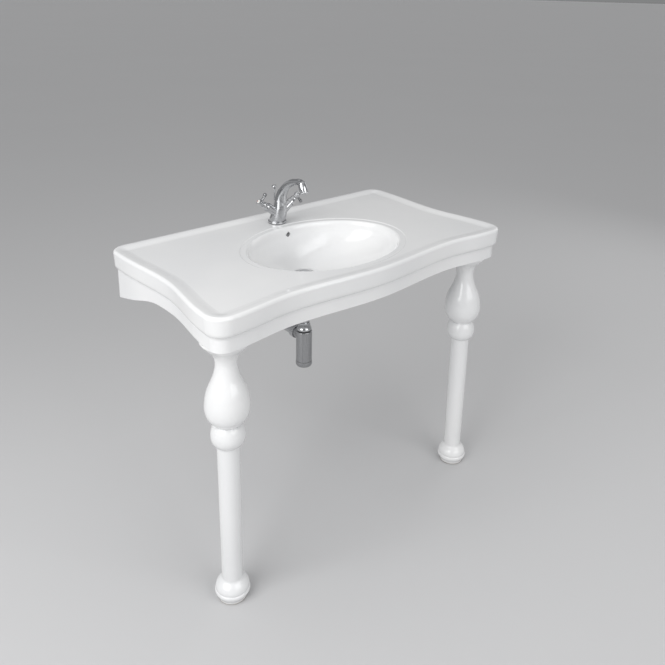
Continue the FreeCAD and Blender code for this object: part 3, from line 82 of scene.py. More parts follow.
class WASHBASIN_PG_ceramic(PropertyGroup):
    """Glazed ceramic of the basin and the legs."""

    glaze: colour("Glaze", "Colour of the glaze where it is thick", (0.79, 0.795, 0.80))
    thin_glaze: colour("Thin Glaze", "Colour where the glaze runs thin over edges", (0.83, 0.832, 0.832))
    # Painted shade: this colour darkens the glaze in the mesh's hollows, where shade falls.
    pooled_glaze: colour("Painted Hollow Shade", "Colour where the glaze gathers in hollows", (0.65, 0.665, 0.675))
    biscuit: colour("Biscuit", "Unglazed body at the wall face and under the feet", (0.69, 0.64, 0.56))
    speck: colour("Speck", "Colour of the rare small specks in the glaze", (0.42, 0.38, 0.32))
    roughness: share("Roughness", "Roughness of the glaze", 0.15)
    ripple: size("Ripple", "Height of the slow waves in the glaze", 0.00028)
    wall_face: size("Wall Face", "Distance behind the origin past which the body is left unglazed", 0.2594)
    foot_line: size("Foot Line", "Height over the floor under which the feet are left unglazed", 0.0032)
    bare_roughness: share("Bare Roughness", "Roughness that the unglazed body adds to the glaze's", 0.62)


class WASHBASIN_PG_metal(PropertyGroup):
    """Plated and bare metals."""

    chrome: colour("Chrome", "Colour of the polished plate", (0.50, 0.506, 0.518))
    chrome_roughness: share("Chrome Roughness", "Roughness of the polished plate", 0.11)
    satin: colour("Satin Plate", "Colour of the brushed plate on the bottle trap", (0.36, 0.364, 0.372))
    satin_roughness: share("Satin Roughness", "Roughness of the brushed plate", 0.24)
    brass: colour("Brass", "Colour of the bare brass", (0.72, 0.50, 0.22))
    tarnish: colour("Tarnish", "Colour of old brass in its hollows", (0.33, 0.20, 0.09))
    zinc: colour("Zinc", "Colour of the zinc plate", (0.58, 0.59, 0.60))


class WASHBASIN_PG_soft(PropertyGroup):
    """Rubber, plastic and wood."""

    rubber: colour("Rubber", "Colour of the black seals", (0.022, 0.022, 0.023))
    pad: colour("Pad", "Colour of the pads under the feet", (0.13, 0.13, 0.135))
    clear_seal: colour("Clear Seal", "Colour of the pale sealing rings", (0.62, 0.62, 0.58))
    white_plastic: colour("White Plastic", "Colour of the stud sleeves", (0.72, 0.71, 0.68))
    grey_plastic: colour("Grey Plastic", "Colour of the aerator's mesh", (0.16, 0.165, 0.17))
    beech: colour("Beech", "Light wood of the dowels", (0.55, 0.36, 0.20))
    beech_dark: colour("Beech Grain", "Dark grain of the dowels", (0.33, 0.19, 0.09))
    enamel: colour("Enamel", "White of the index caps", (0.72, 0.72, 0.70))
    mark_radius: size("Mark Radius", "Radius of the coloured mark on each index cap", 0.0019)
    hot_mark: colour("Hot Mark", "Colour of the mark on the hot handle", (0.48, 0.02, 0.015))
    cold_mark: colour("Cold Mark", "Colour of the mark on the cold handle", (0.012, 0.05, 0.36))


class WASHBASIN_PG_trim(PropertyGroup):
    """Sizes of the knurls, threads and grips."""

    nozzle_tilt: FloatProperty(name="Nozzle Tilt", description="How far the nozzle points forward of down",
                               default=math.radians(25.0), subtype="ANGLE", unit="ROTATION")
    arm_tilt: FloatProperty(name="Arm Tilt", description="How far the valve arms rise from level",
                            default=math.radians(36.0), subtype="ANGLE", unit="ROTATION")
    nozzle_teeth: IntProperty(name="Nozzle Teeth", description="Knurls round the nozzle's ring", default=44,
                              min=8)
    collar_teeth: IntProperty(name="Collar Teeth", description="Grips round the trap's slip nuts", default=28,
                              min=8)
    cup_teeth: IntProperty(name="Cup Teeth", description="Grips round the trap's cup", default=60, min=8)
    tooth_depth: size("Tooth Depth", "How deep the knurls are cut", 0.0006)
    thread_depth: size("Thread Depth", "How far the fine threads stand out of their shanks", 0.00045)
    anchor_depth: size("Anchor Depth", "How far the coarse wall thread stands out of its shank", 0.0009)
    waste_radius: size("Waste Radius", "Radius of the waste's tube", 0.0215)
    stud_radius: size("Stud Radius", "Radius of the wall studs in front of the wall", 0.0048)
    overflow_below_deck: size("Overflow Below Deck", "Depth of the overflow hole below the deck", 0.024)
    overflow_radius: size("Overflow Radius", "Radius of the overflow hole", 0.0065)
    crest_above_deck: size("Crest Above Deck", "Height of the rim's crest above the deck", 0.005)
    stud_pitch: size("Stud Pitch", "Pitch of the thread on the wall studs", 0.0015)
    anchor_pitch: size("Anchor Pitch", "Pitch of the coarse thread inside the wall", 0.0042)
    waste_pitch: size("Waste Pitch", "Pitch of the thread on the waste's tube", 0.0023)
    clamp_pitch: size("Clamp Pitch", "Pitch of the thread on the tap's clamping stud", 0.00125)


class WASHBASIN_PG_stage(PropertyGroup):
    """Floor, light and camera."""

    floor: colour("Floor", "Colour of the studio floor", (0.56, 0.56, 0.565))
    floor_size: size("Floor Size", "Half width of the floor", 150.0)
    key_power: FloatProperty(name="Key", description="Power of the main soft lamp on the left", default=59.0,
                             min=0.0, unit="POWER")
    fill_power: FloatProperty(name="Fill", description="Power of the soft lamp in front", default=34.0,
                              min=0.0, unit="POWER")
    rim_power: FloatProperty(name="Rim", description="Power of the faint soft lamp on the right",
                             default=8.0, min=0.0, unit="POWER")
    far_edge: colour("Far Edge", "Colour of the surroundings where the floor ends", (0.27, 0.272, 0.275))
    horizon: colour("Horizon", "Colour of the surroundings just above eye level", (0.54, 0.545, 0.55))
    shoulder: colour("Shoulder", "Colour of the surroundings half way up", (0.30, 0.302, 0.308))
    zenith: colour("Zenith", "Colour of the surroundings overhead", (0.88, 0.88, 0.88))
    left_light: FloatProperty(name="Left Light", default=1.5, min=1.0,
                              description="How much brighter the left is than the right")
    camera_place: FloatVectorProperty(name="Camera Place", description="Where the camera stands",
                                      default=(-1.2328, -1.5272, 1.5476), subtype="TRANSLATION", size=3)
    camera_yaw: FloatProperty(name="Yaw", description="Turn of the view to the right of +Y",
                              default=math.radians(41.66), subtype="ANGLE", unit="ROTATION")
    camera_pitch: FloatProperty(name="Pitch", description="How far the view looks down",
                                default=math.radians(16.70), subtype="ANGLE", unit="ROTATION")
    camera_roll: FloatProperty(name="Roll", description="Lean of the picture", default=math.radians(1.27),
                               subtype="ANGLE", unit="ROTATION")
    focal_pixels: FloatProperty(name="Focal Length", default=702.4, min=1.0,
                                description="Focal length in pixels of the picture")
    centre_x: FloatProperty(name="Centre X", description="Pixel across that the camera looks straight at",
                            default=342.9)
    centre_y: FloatProperty(name="Centre Y", description="Pixel down that the camera looks straight at",
                            default=200.0)


# ---- shader building ---------------------------------------------------------------------------------------
class Finish:
    """A new material with a principled surface, and short ways to add nodes to it."""

    def __init__(self, name, base, roughness, metallic=0.0):
        self.material = bpy.data.materials.new(name)
        self.material.use_nodes = True
        self.tree = self.material.node_tree
        self.surface = self.tree.nodes["Principled BSDF"]
        self.set("Base Color", (*base, 1.0))
        self.set("Roughness", roughness)
        self.set("Metallic", metallic)
        self.place = self.node("ShaderNodeTexCoord").outputs["Object"]

    def node(self, kind, **settings):
        made = self.tree.nodes.new(kind)
        for key, value in settings.items():
            setattr(made, key, value)
        return made

    def set(self, socket, value):
        self.surface.inputs[socket].default_value = value

    def feed(self, socket, output):
        self.tree.links.new(output, self.surface.inputs[socket])

    def join(self, output, made, socket):
        self.tree.links.new(output, made.inputs[socket])

    def stretched(self, scale):
        """The object's coordinates, stretched by a scale on each axis."""
        mapping = self.node("ShaderNodeMapping")
        self.join(self.place, mapping, "Vector")
        mapping.inputs["Scale"].default_value = scale
        return mapping.outputs["Vector"]

    def noise(self, scale, detail=3.0, roughness=0.5, vector=None):
        """Smooth noise from 0 to 1, with scale in waves to the metre."""
        made = self.node("ShaderNodeTexNoise")
        self.join(vector or self.place, made, "Vector")
        made.inputs["Scale"].default_value = scale
        made.inputs["Detail"].default_value = detail
        made.inputs["Roughness"].default_value = roughness
        return made.outputs["Fac"]

    def cells(self, scale, feature="F1"):
        """Distance to the nearest of many scattered points."""
        made = self.node("ShaderNodeTexVoronoi", feature=feature)
        self.join(self.place, made, "Vector")
        made.inputs["Scale"].default_value = scale
        return made.outputs["Distance"]

    def ramp(self, value, low, high, to_low=0.0, to_high=1.0):
        """Maps a value from low to high onto another range, held at both ends."""
        made = self.node("ShaderNodeMapRange", interpolation_type="SMOOTHSTEP")
        self.join(value, made, "Value")
        for key, number in (("From Min", low), ("From Max", high), ("To Min", to_low), ("To Max", to_high)):
            made.inputs[key].default_value = number
        return made.outputs["Result"]

    def maths(self, operation, first, second=None):
        made = self.node("ShaderNodeMath", operation=operation)
        for index, value in enumerate((first, second)):
            if isinstance(value, (int, float)):
                made.inputs[index].default_value = value
            elif value is not None:
                self.tree.links.new(value, made.inputs[index])
        return made.outputs["Value"]

    def blend(self, factor, first, second):
        """A colour between two, by a factor from 0 to 1."""
        made = self.node("ShaderNodeMix", data_type="RGBA")
        self.join(factor, made, 0)
        for index, value in ((6, first), (7, second)):
            if hasattr(value, "is_linked"):
                self.tree.links.new(value, made.inputs[index])
            else:
                made.inputs[index].default_value = (*value, 1.0)
        return made.outputs[2]

    def relief(self, height, distance, below=None, strength=1.0):
        """A bump of a height from 0 to 1 over a distance in metres, on top of another bump."""
        made = self.node("ShaderNodeBump")
        made.inputs["Strength"].default_value = strength
        made.inputs["Distance"].default_value = distance
        self.join(height, made, "Height")
        if below is not None:
            self.join(below, made, "Normal")
        return made.outputs["Normal"]

    def hollows(self, low, high):
        """1 on raised edges and 0 in hollows of the mesh."""
        geometry = self.node("ShaderNodeNewGeometry")
        return self.ramp(geometry.outputs["Pointiness"], low, high)

    def axis_value(self, axis):
        """One of the object's coordinates."""
        parts = self.node("ShaderNodeSeparateXYZ")
        self.join(self.place, parts, "Vector")
        return parts.outputs[axis]


def scaled(tone, factor):
    """A colour made paler or darker."""
    return tuple(part * factor for part in tone)


def shared(maker, settings):
    """The material of a finish, made on first use under its maker's name and shared after that."""
    return bpy.data.materials.get(maker.__name__) or maker(settings).material


def coat_node(name, material):
    """Gives a node of the model a material in place of its own."""
    piece = NODES[name]
    if not piece.material_slots:
        piece.data.materials.append(None)
    for slot in piece.material_slots:
        slot.link = "OBJECT"
        slot.material = material


# ---- ceramic -----------------------------------------------------------------------------------------------
def glazed_ceramic(settings):
    """White glaze with slow waves, paler in slow drifts, darker in hollows as painted shade, and bare where it
    meets the wall.
    """
    finish = Finish("glazed_ceramic", settings.glaze, settings.roughness)
    drift = finish.noise(3.0, detail=2.0)
    body = finish.blend(finish.ramp(drift, 0.35, 0.65), settings.glaze, settings.thin_glaze)
    # Painted shade: the glaze is darkened in the mesh's hollows.
    hollow = finish.hollows(0.42, 0.49)
    body = finish.blend(hollow, settings.pooled_glaze, body)
    speck = finish.ramp(finish.cells(85.0), 0.035, 0.055)
    rare = finish.ramp(finish.noise(17.0, detail=1.0), 0.66, 0.70)
    speck = finish.maths("MAXIMUM", speck, finish.maths("SUBTRACT", 1.0, rare))
    body = finish.blend(speck, settings.speck, body)
    bare_back = finish.ramp(finish.axis_value("Y"), settings.wall_face, settings.wall_face + 0.0003)
    bare_foot = finish.ramp(finish.axis_value("Z"), settings.foot_line, settings.foot_line + MM, 1.0, 0.0)
    bare = finish.maths("MAXIMUM", bare_back, bare_foot)
    finish.feed("Base Color", finish.blend(bare, body, settings.biscuit))
    sheen = finish.ramp(finish.noise(26.0, detail=4.0), 0.3, 0.7, settings.roughness * 0.8,
                        settings.roughness * 1.35)
    rougher = finish.maths("MULTIPLY", bare, settings.bare_roughness)
    finish.feed("Roughness", finish.maths("ADD", sheen, rougher))
    waves = finish.relief(finish.noise(9.0, detail=1.0, roughness=0.4), settings.ripple)
    skin = finish.relief(finish.noise(210.0, detail=2.0), 0.000012, waves)
    finish.feed("Normal", skin)
    finish.set("IOR", 1.5)
    finish.set("Coat Weight", 0.2)
    finish.set("Coat Roughness", 0.06)
    return finish


# ---- metals ------------------------------------------------------------------------------------------------
def polished_chrome(settings):
    """Bright plate with faint wiping marks, water haze and painted shade in its hollows."""
    finish = Finish("polished_chrome", settings.chrome, settings.chrome_roughness, 1.0)
    haze = finish.noise(38.0, detail=4.0, roughness=0.6)
    wipes = finish.noise(1.0, detail=2.0, roughness=0.5, vector=finish.stretched((900.0, 300.0, 120.0)))
    low, high = settings.chrome_roughness * 0.7, settings.chrome_roughness * 1.7
    mixed = finish.maths("MULTIPLY", haze, finish.ramp(wipes, 0.3, 0.7, 0.75, 1.15))
    finish.feed("Roughness", finish.ramp(mixed, 0.3, 0.75, low, high))
    # Painted shade: the plate's colour is made darker in the mesh's hollows.
    painted_chrome_shade = scaled(settings.chrome, 0.84)
    finish.feed("Base Color", finish.blend(finish.hollows(0.40, 0.50), painted_chrome_shade, settings.chrome))
    finish.feed("Normal", finish.relief(wipes, 0.000004, strength=0.35))
    return finish


def satin_plate(settings):
    """Brushed plate, with its fine lines along the height of the trap."""
    finish = Finish("satin_plate", settings.satin, settings.satin_roughness, 1.0)
    lines = finish.noise(1.0, detail=3.0, roughness=0.6, vector=finish.stretched((2600.0, 2600.0, 22.0)))
    low, high = settings.satin_roughness * 0.75, settings.satin_roughness * 1.35
    finish.feed("Roughness", finish.ramp(lines, 0.25, 0.75, low, high))
    pale = scaled(settings.satin, 1.12)
    finish.feed("Base Color", finish.blend(finish.ramp(lines, 0.3, 0.7), settings.satin, pale))
    finish.feed("Normal", finish.relief(lines, 0.00001, strength=0.5))
    finish.set("Anisotropic", 0.5)
    return finish


def machined_brass(settings):
    """Bare brass with turning marks, darker in its hollows."""
    finish = Finish("machined_brass", settings.brass, 0.28, 1.0)
    age = finish.noise(55.0, detail=5.0, roughness=0.65)
    spots = finish.blend(finish.ramp(age, 0.35, 0.7), settings.brass, settings.tarnish)
    finish.feed("Base Color", finish.blend(finish.hollows(0.43, 0.5), settings.tarnish, spots))
    finish.feed("Roughness", finish.ramp(age, 0.3, 0.7, 0.2, 0.42))
    turning = finish.noise(1.0, detail=1.0, roughness=0.5, vector=finish.stretched((40.0, 40.0, 2400.0)))
    finish.feed("Normal", finish.relief(turning, 0.00001, strength=0.4))
    return finish


def zinc_plate(settings):
    """Zinc plate on steel, mottled, with a faint straw tint."""
    finish = Finish("zinc_plate", settings.zinc, 0.34, 1.0)
    mottle = finish.noise(120.0, detail=4.0, roughness=0.6)
    straw = [part * tint for part, tint in zip(settings.zinc, (1.06, 0.98, 0.82))]
    finish.feed("Base Color", finish.blend(finish.ramp(mottle, 0.4, 0.65), settings.zinc, straw))
    finish.feed("Roughness", finish.ramp(mottle, 0.3, 0.7, 0.26, 0.46))
    finish.feed("Normal", finish.relief(finish.noise(900.0, detail=2.0), 0.000012, strength=0.5))
    return finish


# ---- rubber, plastic and wood ------------------------------------------------------------------------------
def moulded(name, base, roughness, grain, depth):
    """A moulded rubber or plastic with a fine grain and slight variation of tone."""
    finish = Finish(name, base, roughness)
    tone = finish.noise(70.0, detail=3.0)
    pale = [part + 0.004 for part in scaled(base, 1.25)]
    finish.feed("Base Color", finish.blend(finish.ramp(tone, 0.35, 0.7), base, pale))
    finish.feed("Roughness", finish.ramp(tone, 0.3, 0.7, roughness * 0.85, min(1.0, roughness * 1.15)))
    finish.feed("Normal", finish.relief(finish.noise(grain, detail=3.0), depth))
    return finish.material


def turned_beech(settings):
    """Pale wood with its grain along the dowel."""
    finish = Finish("turned_beech", settings.beech, 0.55)
    grain = finish.noise(1.0, detail=4.0, roughness=0.6, vector=finish.stretched((420.0, 420.0, 30.0)))
    finish.feed("Base Color", finish.blend(finish.ramp(grain, 0.4, 0.7), settings.beech, settings.beech_dark))
    finish.feed("Roughness", finish.ramp(grain, 0.3, 0.7, 0.45, 0.65))
    finish.feed("Normal", finish.relief(grain, 0.00004))
    return finish


def index_enamel(name, enamel, mark, crown, dot_radius):
    """White enamel on an index cap, with a small round mark of one colour at its crown."""
    finish = Finish(name, enamel, 0.12)
    swirl = finish.noise(240.0, detail=3.0)
    milky = scaled(enamel, 0.93)
    deep = scaled(mark, 0.72)
    ground = finish.blend(finish.ramp(swirl, 0.35, 0.65), milky, enamel)
    spot = finish.blend(finish.ramp(swirl, 0.35, 0.65), deep, mark)
    reach = finish.node("ShaderNodeVectorMath", operation="DISTANCE")
    finish.join(finish.place, reach, 0)
    reach.inputs[1].default_value = crown
    inside = finish.ramp(reach.outputs["Value"], dot_radius * 0.94, dot_radius * 1.06, 1.0, 0.0)
    finish.feed("Base Color", finish.blend(inside, ground, spot))
    finish.feed("Roughness", finish.ramp(swirl, 0.3, 0.7, 0.08, 0.18))
    finish.set("Coat Weight", 0.6)
    return finish.material


# ---- places read from the model ----------------------------------------------------------------------------
def girth(node, direction, side=0.0):
    """The widest round part of a node about its axis: its start on the axis, its radius and its length.

    A node with two solids is measured on the side of the middle that side's sign points to.
    """
    points = [vertex.co.copy() for vertex in NODES[node].data.vertices if vertex.co.x * side >= 0.0]
    first = direction.orthogonal().normalized()
    centre = Vector()
    for across in (first, direction.cross(first)):
        spread = [point.dot(across) for point in points]
        centre += across * (min(spread) + max(spread)) / 2

    def apart(point):
        offset = point - centre
        return (offset - direction * offset.dot(direction)).length

    radius = max(apart(point) for point in points)
    along = [point.dot(direction) for point in points if radius - apart(point) < 0.05 * MM]
    return centre + direction * min(along), radius, max(along) - min(along)


def farthest(node, direction):
    """The point of a node that lies farthest along a direction."""
    points = (vertex.co.copy() for vertex in NODES[node].data.vertices)
    return max(points, key=direction.dot)


def turned_matrix(origin, direction):
    """Carries +Z to a direction and zero to an origin."""
    return Matrix.Translation(origin) @ UP.rotation_difference(direction).to_matrix().to_4x4()


def mesh_piece(name, points, faces, material, smooth=True):
    """A mesh object that belongs to the fixed body of the model."""
    mesh = bpy.data.meshes.new(name)
    mesh.from_pydata([tuple(point) for point in points], [], faces)
    mesh.update()
    for polygon in mesh.polygons:
        polygon.use_smooth = smooth
    mesh.materials.append(material)
    piece = bpy.data.objects.new(name, mesh)
    bpy.context.scene.collection.objects.link(piece)
    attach(piece, "root")
    return piece


def ring_faces(rings, count):
    """Quads between closed rings of points, each ring with the same count, the last joined to the first."""
    faces = []
    for ring in range(rings):
        following = (ring + 1) % rings
        for index in range(count):
            beside = (index + 1) % count
            faces.append((ring * count + index, ring * count + beside,
                          following * count + beside, following * count + index))
    return faces


def lathe(name, origin, direction, profile, material, count=64):
    """A closed ring turned round an axis from the points of its section, each a radius and a height."""
    carry = turned_matrix(origin, direction)
    points = []
    for reach, height in profile:
        for index in range(count):
            angle = 2 * math.pi * index / count
            points.append(carry @ Vector((reach * math.cos(angle), reach * math.sin(angle), height)))
    return mesh_piece(name, points, ring_faces(len(profile), count), material)


POINTS_PER_TOOTH = 6
SKIN = 0.05 * MM  # knurls lie this far outside the surface that they are cut in
# Each ring of a knurled band: millimetres inside the surface, share of the height, share of the tooth
KNURL_LEVELS = ((-0.4, 0.0, 0.0), (0.0, 0.06, 0.0), (0.0, 0.18, 1.0), (0.0, 0.82, 1.0), (0.0, 0.94, 0.0),
                (-0.4, 1.0, 0.0))


def knurled_band(name, origin, direction, radius, height, teeth, depth, material):
    """A band of rounded teeth round an axis. The teeth stand out of the surface at radius by depth."""
    carry = turned_matrix(origin, direction)
    count = teeth * POINTS_PER_TOOTH
    points = []
    for inset, level, tooth in KNURL_LEVELS:
        for index in range(count):
            angle = 2 * math.pi * index / count
            swell = tooth * depth * (0.5 + 0.5 * math.cos(angle * teeth))
            reach = radius + inset * MM + SKIN + swell
            points.append(carry @ Vector((reach * math.cos(angle), reach * math.sin(angle), level * height)))
    return mesh_piece(name, points, ring_faces(len(KNURL_LEVELS), count), material)


STEPS_PER_TURN = 28
FADE_STEPS = 9.0
ROOT_DEPTH = 0.1 * MM  # a thread's foot is sunk this far into its shank


def thread(name, origin, direction, radius, length, pitch, depth, material):
    """A helical ridge round a straight shank, fading in and out at its ends."""
    carry = turned_matrix(origin, direction)
    total = int(STEPS_PER_TURN * max(1.0, length / pitch - 1.0))
    section = [(-0.42, -ROOT_DEPTH), (-0.1, depth), (0.1, depth), (0.42, -ROOT_DEPTH)]
    points = []
    for step in range(total + 1):
        angle = 2 * math.pi * step / STEPS_PER_TURN
        rise = pitch * (0.5 + step / STEPS_PER_TURN)
        fade = min(1.0, step / FADE_STEPS, (total - step) / FADE_STEPS)
        for offset, height in section:
            reach = radius + (height * fade if height > 0 else height)
            points.append(carry @ Vector((reach * math.cos(angle), reach * math.sin(angle),
                                          rise + offset * pitch)))
    faces = []
    width = len(section)
    for step in range(total):
        for index in range(width - 1):
            first = step * width + index
            faces.append((first, first + 1, first + width + 1, first + width))
    return mesh_piece(name, points, faces, material, smooth=False)


# ---- operators ---------------------------------------------------------------------------------------------
class WASHBASIN_OT_ceramic(Operator):
    """Glaze the basin and both legs"""

    bl_idname = "washbasin.ceramic"
    bl_label = "Glaze Ceramic"

    def execute(self, context):
        glaze = shared(glazed_ceramic, context.scene.washbasin_ceramic)
        for name in ("basin", "leg_left", "leg_right"):
            coat_node(name, glaze)
        return {"FINISHED"}


CHROME_NODES = ("tap_body", "aerator_housing", "hot_bonnet", "cold_bonnet", "hot_handle", "cold_handle",
                "hot_handle_spokes", "cold_handle_spokes", "lift_rod", "lift_knob", "pivot_nut",
                "waste_flange", "waste_tee", "plug", "trap_coupling_nut", "trap_inlet_tube", "trap_collar",
                "trap_outlet_nut", "trap_outlet_pipe", "wall_escutcheon")
SATIN_NODES = ("trap_bottle", "trap_cup")
BRASS_NODES = ("hot_cartridge", "cold_cartridge", "hot_spindle", "cold_spindle", "tap_stud", "tap_stud_nut",
               "linkage_clamp", "waste_back_nut")
ZINC_NODES = ("wall_studs", "wall_washers", "wall_nuts", "tap_horseshoe_plate", "linkage_strap",
              "linkage_screws", "pivot_rod", "hot_handle_screw", "cold_handle_screw")
RUBBER_NODES = ("tap_gasket", "tap_horseshoe_seal", "waste_back_seal", "plug_seal", "trap_coupling_seal",
                "trap_collar_seal", "trap_cup_seal", "trap_outlet_seal")


class WASHBASIN_OT_metal(Operator):
    """Plate the tap, the waste and the trap, and finish the bare metals"""

    bl_idname = "washbasin.metal"
    bl_label = "Finish Metals"

    def execute(self, context):
        settings = context.scene.washbasin_metal
        groups = ((CHROME_NODES, polished_chrome), (SATIN_NODES, satin_plate),
                  (BRASS_NODES, machined_brass), (ZINC_NODES, zinc_plate))
        for names, maker in groups:
            for name in names:
                coat_node(name, shared(maker, settings))
        return {"FINISHED"}


class WASHBASIN_OT_soft(Operator):
    """Finish the seals, pads, sleeves, dowels and index marks"""

    bl_idname = "washbasin.soft"
    bl_label = "Finish Seals and Marks"

    def execute(self, context):
        settings = context.scene.washbasin_soft
        black = moulded("black_rubber", settings.rubber, 0.62, 700.0, 0.03 * MM)
        for name in RUBBER_NODES:
            coat_node(name, black)
        coat_node("leg_floor_pads", moulded("pad_rubber", settings.pad, 0.7, 500.0, 0.04 * MM))
        pale = moulded("clear_seal", settings.clear_seal, 0.35, 300.0, 0.01 * MM)
        coat_node("leg_top_seals", pale)
        coat_node("waste_top_seal", pale)
        white = moulded("white_plastic", settings.white_plastic, 0.42, 900.0, 0.02 * MM)
        coat_node("wall_stud_sleeves", white)
        coat_node("aerator_insert", moulded("grey_plastic", settings.grey_plastic, 0.5, 900.0, 0.02 * MM))
        coat_node("leg_top_dowels", shared(turned_beech, settings))
        tilt = context.scene.washbasin_trim.arm_tilt
        for name, side, mark in (("hot", -1.0, settings.hot_mark), ("cold", 1.0, settings.cold_mark)):
            crown = farthest(name + "_index_cap", Vector((side * math.cos(tilt), 0.0, math.sin(tilt))))
            coat_node(name + "_index_cap", index_enamel(name + "_mark", settings.enamel, mark, crown,
                                                        settings.mark_radius))
        return {"FINISHED"}


class WASHBASIN_OT_grips(Operator):
    """Cut the knurls round the nozzle and the grips round the trap's nuts and cup"""

    bl_idname = "washbasin.grips"
    bl_label = "Cut Grips"

    def execute(self, context):
        sizes = context.scene.washbasin_trim
        metal = context.scene.washbasin_metal
        chrome, satin = shared(polished_chrome, metal), shared(satin_plate, metal)
        tilt = sizes.nozzle_tilt
        nozzle = Vector((0.0, -math.sin(tilt), -math.cos(tilt)))
        bands = (("nozzle_knurl", "aerator_housing", nozzle, sizes.nozzle_teeth, chrome, "chrome"),
                 ("collar_grip", "trap_collar", UP, sizes.collar_teeth, chrome, "chrome"),
                 ("outlet_nut_grip", "trap_outlet_nut", BACK, sizes.collar_teeth, chrome, "chrome"),
                 ("cup_grip", "trap_cup", UP, sizes.cup_teeth, satin, "satin_chrome"))
        for name, node, direction, teeth, material, slot in bands:
            start, radius, length = girth(node, direction)
            knurled_band(name, start, direction, radius, length, teeth, sizes.tooth_depth, material)
        return {"FINISHED"}


class WASHBASIN_OT_threads(Operator):
    """Wind the threads on the wall studs, the tap's stud and the waste's tube"""

    bl_idname = "washbasin.threads"
    bl_label = "Wind Threads"

    def execute(self, context):
        sizes = context.scene.washbasin_trim
        metal = context.scene.washbasin_metal
        zinc, brass = shared(zinc_plate, metal), shared(machined_brass, metal)
        chrome = shared(polished_chrome, metal)
        stud_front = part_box("wall_studs")[0][1]
        nut_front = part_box("wall_nuts")[0][1]
        for side, label in ((-1.0, "left"), (1.0, "right")):
            start, radius, length = girth("wall_studs", BACK, side)
            thread("anchor_thread_" + label, start, BACK, radius, length, sizes.anchor_pitch,
                   sizes.anchor_depth, zinc)
            front = Vector((start.x, stud_front, start.z))
            thread("stud_thread_" + label, front, BACK, sizes.stud_radius, nut_front - stud_front,
                   sizes.stud_pitch, sizes.thread_depth, zinc)
        start, radius = girth("tap_stud", UP)[:2]
        nut_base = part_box("tap_stud_nut")[0][2]
        thread("clamp_thread", start, UP, radius, nut_base - start.z, sizes.clamp_pitch, sizes.thread_depth,
               brass)
        tee_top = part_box("waste_tee")[1][2]
        low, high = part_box("waste_back_nut")
        centre = Vector(((low[0] + high[0]) / 2, (low[1] + high[1]) / 2, tee_top))
        thread("waste_thread", centre, UP, sizes.waste_radius, low[2] - tee_top, sizes.waste_pitch,
               sizes.thread_depth, chrome)
        return {"FINISHED"}


# The ring's section in millimetres: past the hole's edge, and out of the bowl's wall
OVERFLOW_SECTION = ((-1.0, -1.8), (-0.3, -1.8), (-0.3, 0.0), (1.3, 0.0), (1.4, 0.3), (1.0, 0.7), (0.3, 0.9),
                    (-0.5, 0.8), (-1.0, 0.3))
BESIDE_HOLE = 1.6  # the wall's slope is read this many radii above and below the overflow hole


class WASHBASIN_OT_overflow_ring(Operator):
    """Line the overflow hole with a plated ring"""

    bl_idname = "washbasin.overflow_ring"
    bl_label = "Line Overflow"

    def execute(self, context):
        sizes = context.scene.washbasin_trim
        low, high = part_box("basin")
        hole = high[2] - sizes.crest_above_deck - sizes.overflow_below_deck
        across = BESIDE_HOLE * sizes.overflow_radius
        hits = []
        for level in (hole - across, hole + across):
            found, point = NODES["basin"].ray_cast(Vector((0.0, low[1] / 2, level)), BACK)[:2]
            if not found:
                raise RuntimeError("the bowl's wall wasn't found beside the overflow hole")
            hits.append(point)
        wall = (hits[1] - hits[0]).normalized()
        outward = Vector((1.0, 0.0, 0.0)).cross(wall).normalized()
        section = [(sizes.overflow_radius + reach * MM, height * MM) for reach, height in OVERFLOW_SECTION]
        chrome = shared(polished_chrome, context.scene.washbasin_metal)
        lathe("overflow_ring", (hits[0] + hits[1]) / 2, outward, section, chrome)
        return {"FINISHED"}


class WASHBASIN_OT_stage(Operator):
    """Lay the floor, hang the lamps and set up the camera"""

    bl_idname = "washbasin.stage"
    bl_label = "Set Stage"

    def execute(self, context):
        settings = context.scene.washbasin_stage
        studio_floor(settings)
        studio_world(context.scene, settings)
        studio_lamps(settings)
        studio_camera(context.scene, settings)
        context.scene.view_settings.view_transform = "Standard"
        return {"FINISHED"}


# ---- stage -------------------------------------------------------------------------------------------------
def studio_floor(settings):
    """A plain pale floor with a faint, slow change of tone."""
    half = settings.floor_size
    mesh = bpy.data.meshes.new("studio_floor")
    corners = [(-half, -half, 0.0), (half, -half, 0.0), (half, half, 0.0), (-half, half, 0.0)]
    mesh.from_pydata(corners, [], [(0, 1, 2, 3)])
    finish = Finish("studio_floor", settings.floor, 0.55)
    pale = scaled(settings.floor, 1.03)
    finish.feed("Base Color", finish.blend(finish.noise(0.6, detail=2.0), settings.floor, pale))
    finish.set("Specular IOR Level", 0.25)
    mesh.materials.append(finish.material)
    floor = bpy.data.objects.new("studio_floor", mesh)
    bpy.context.scene.collection.objects.link(floor)


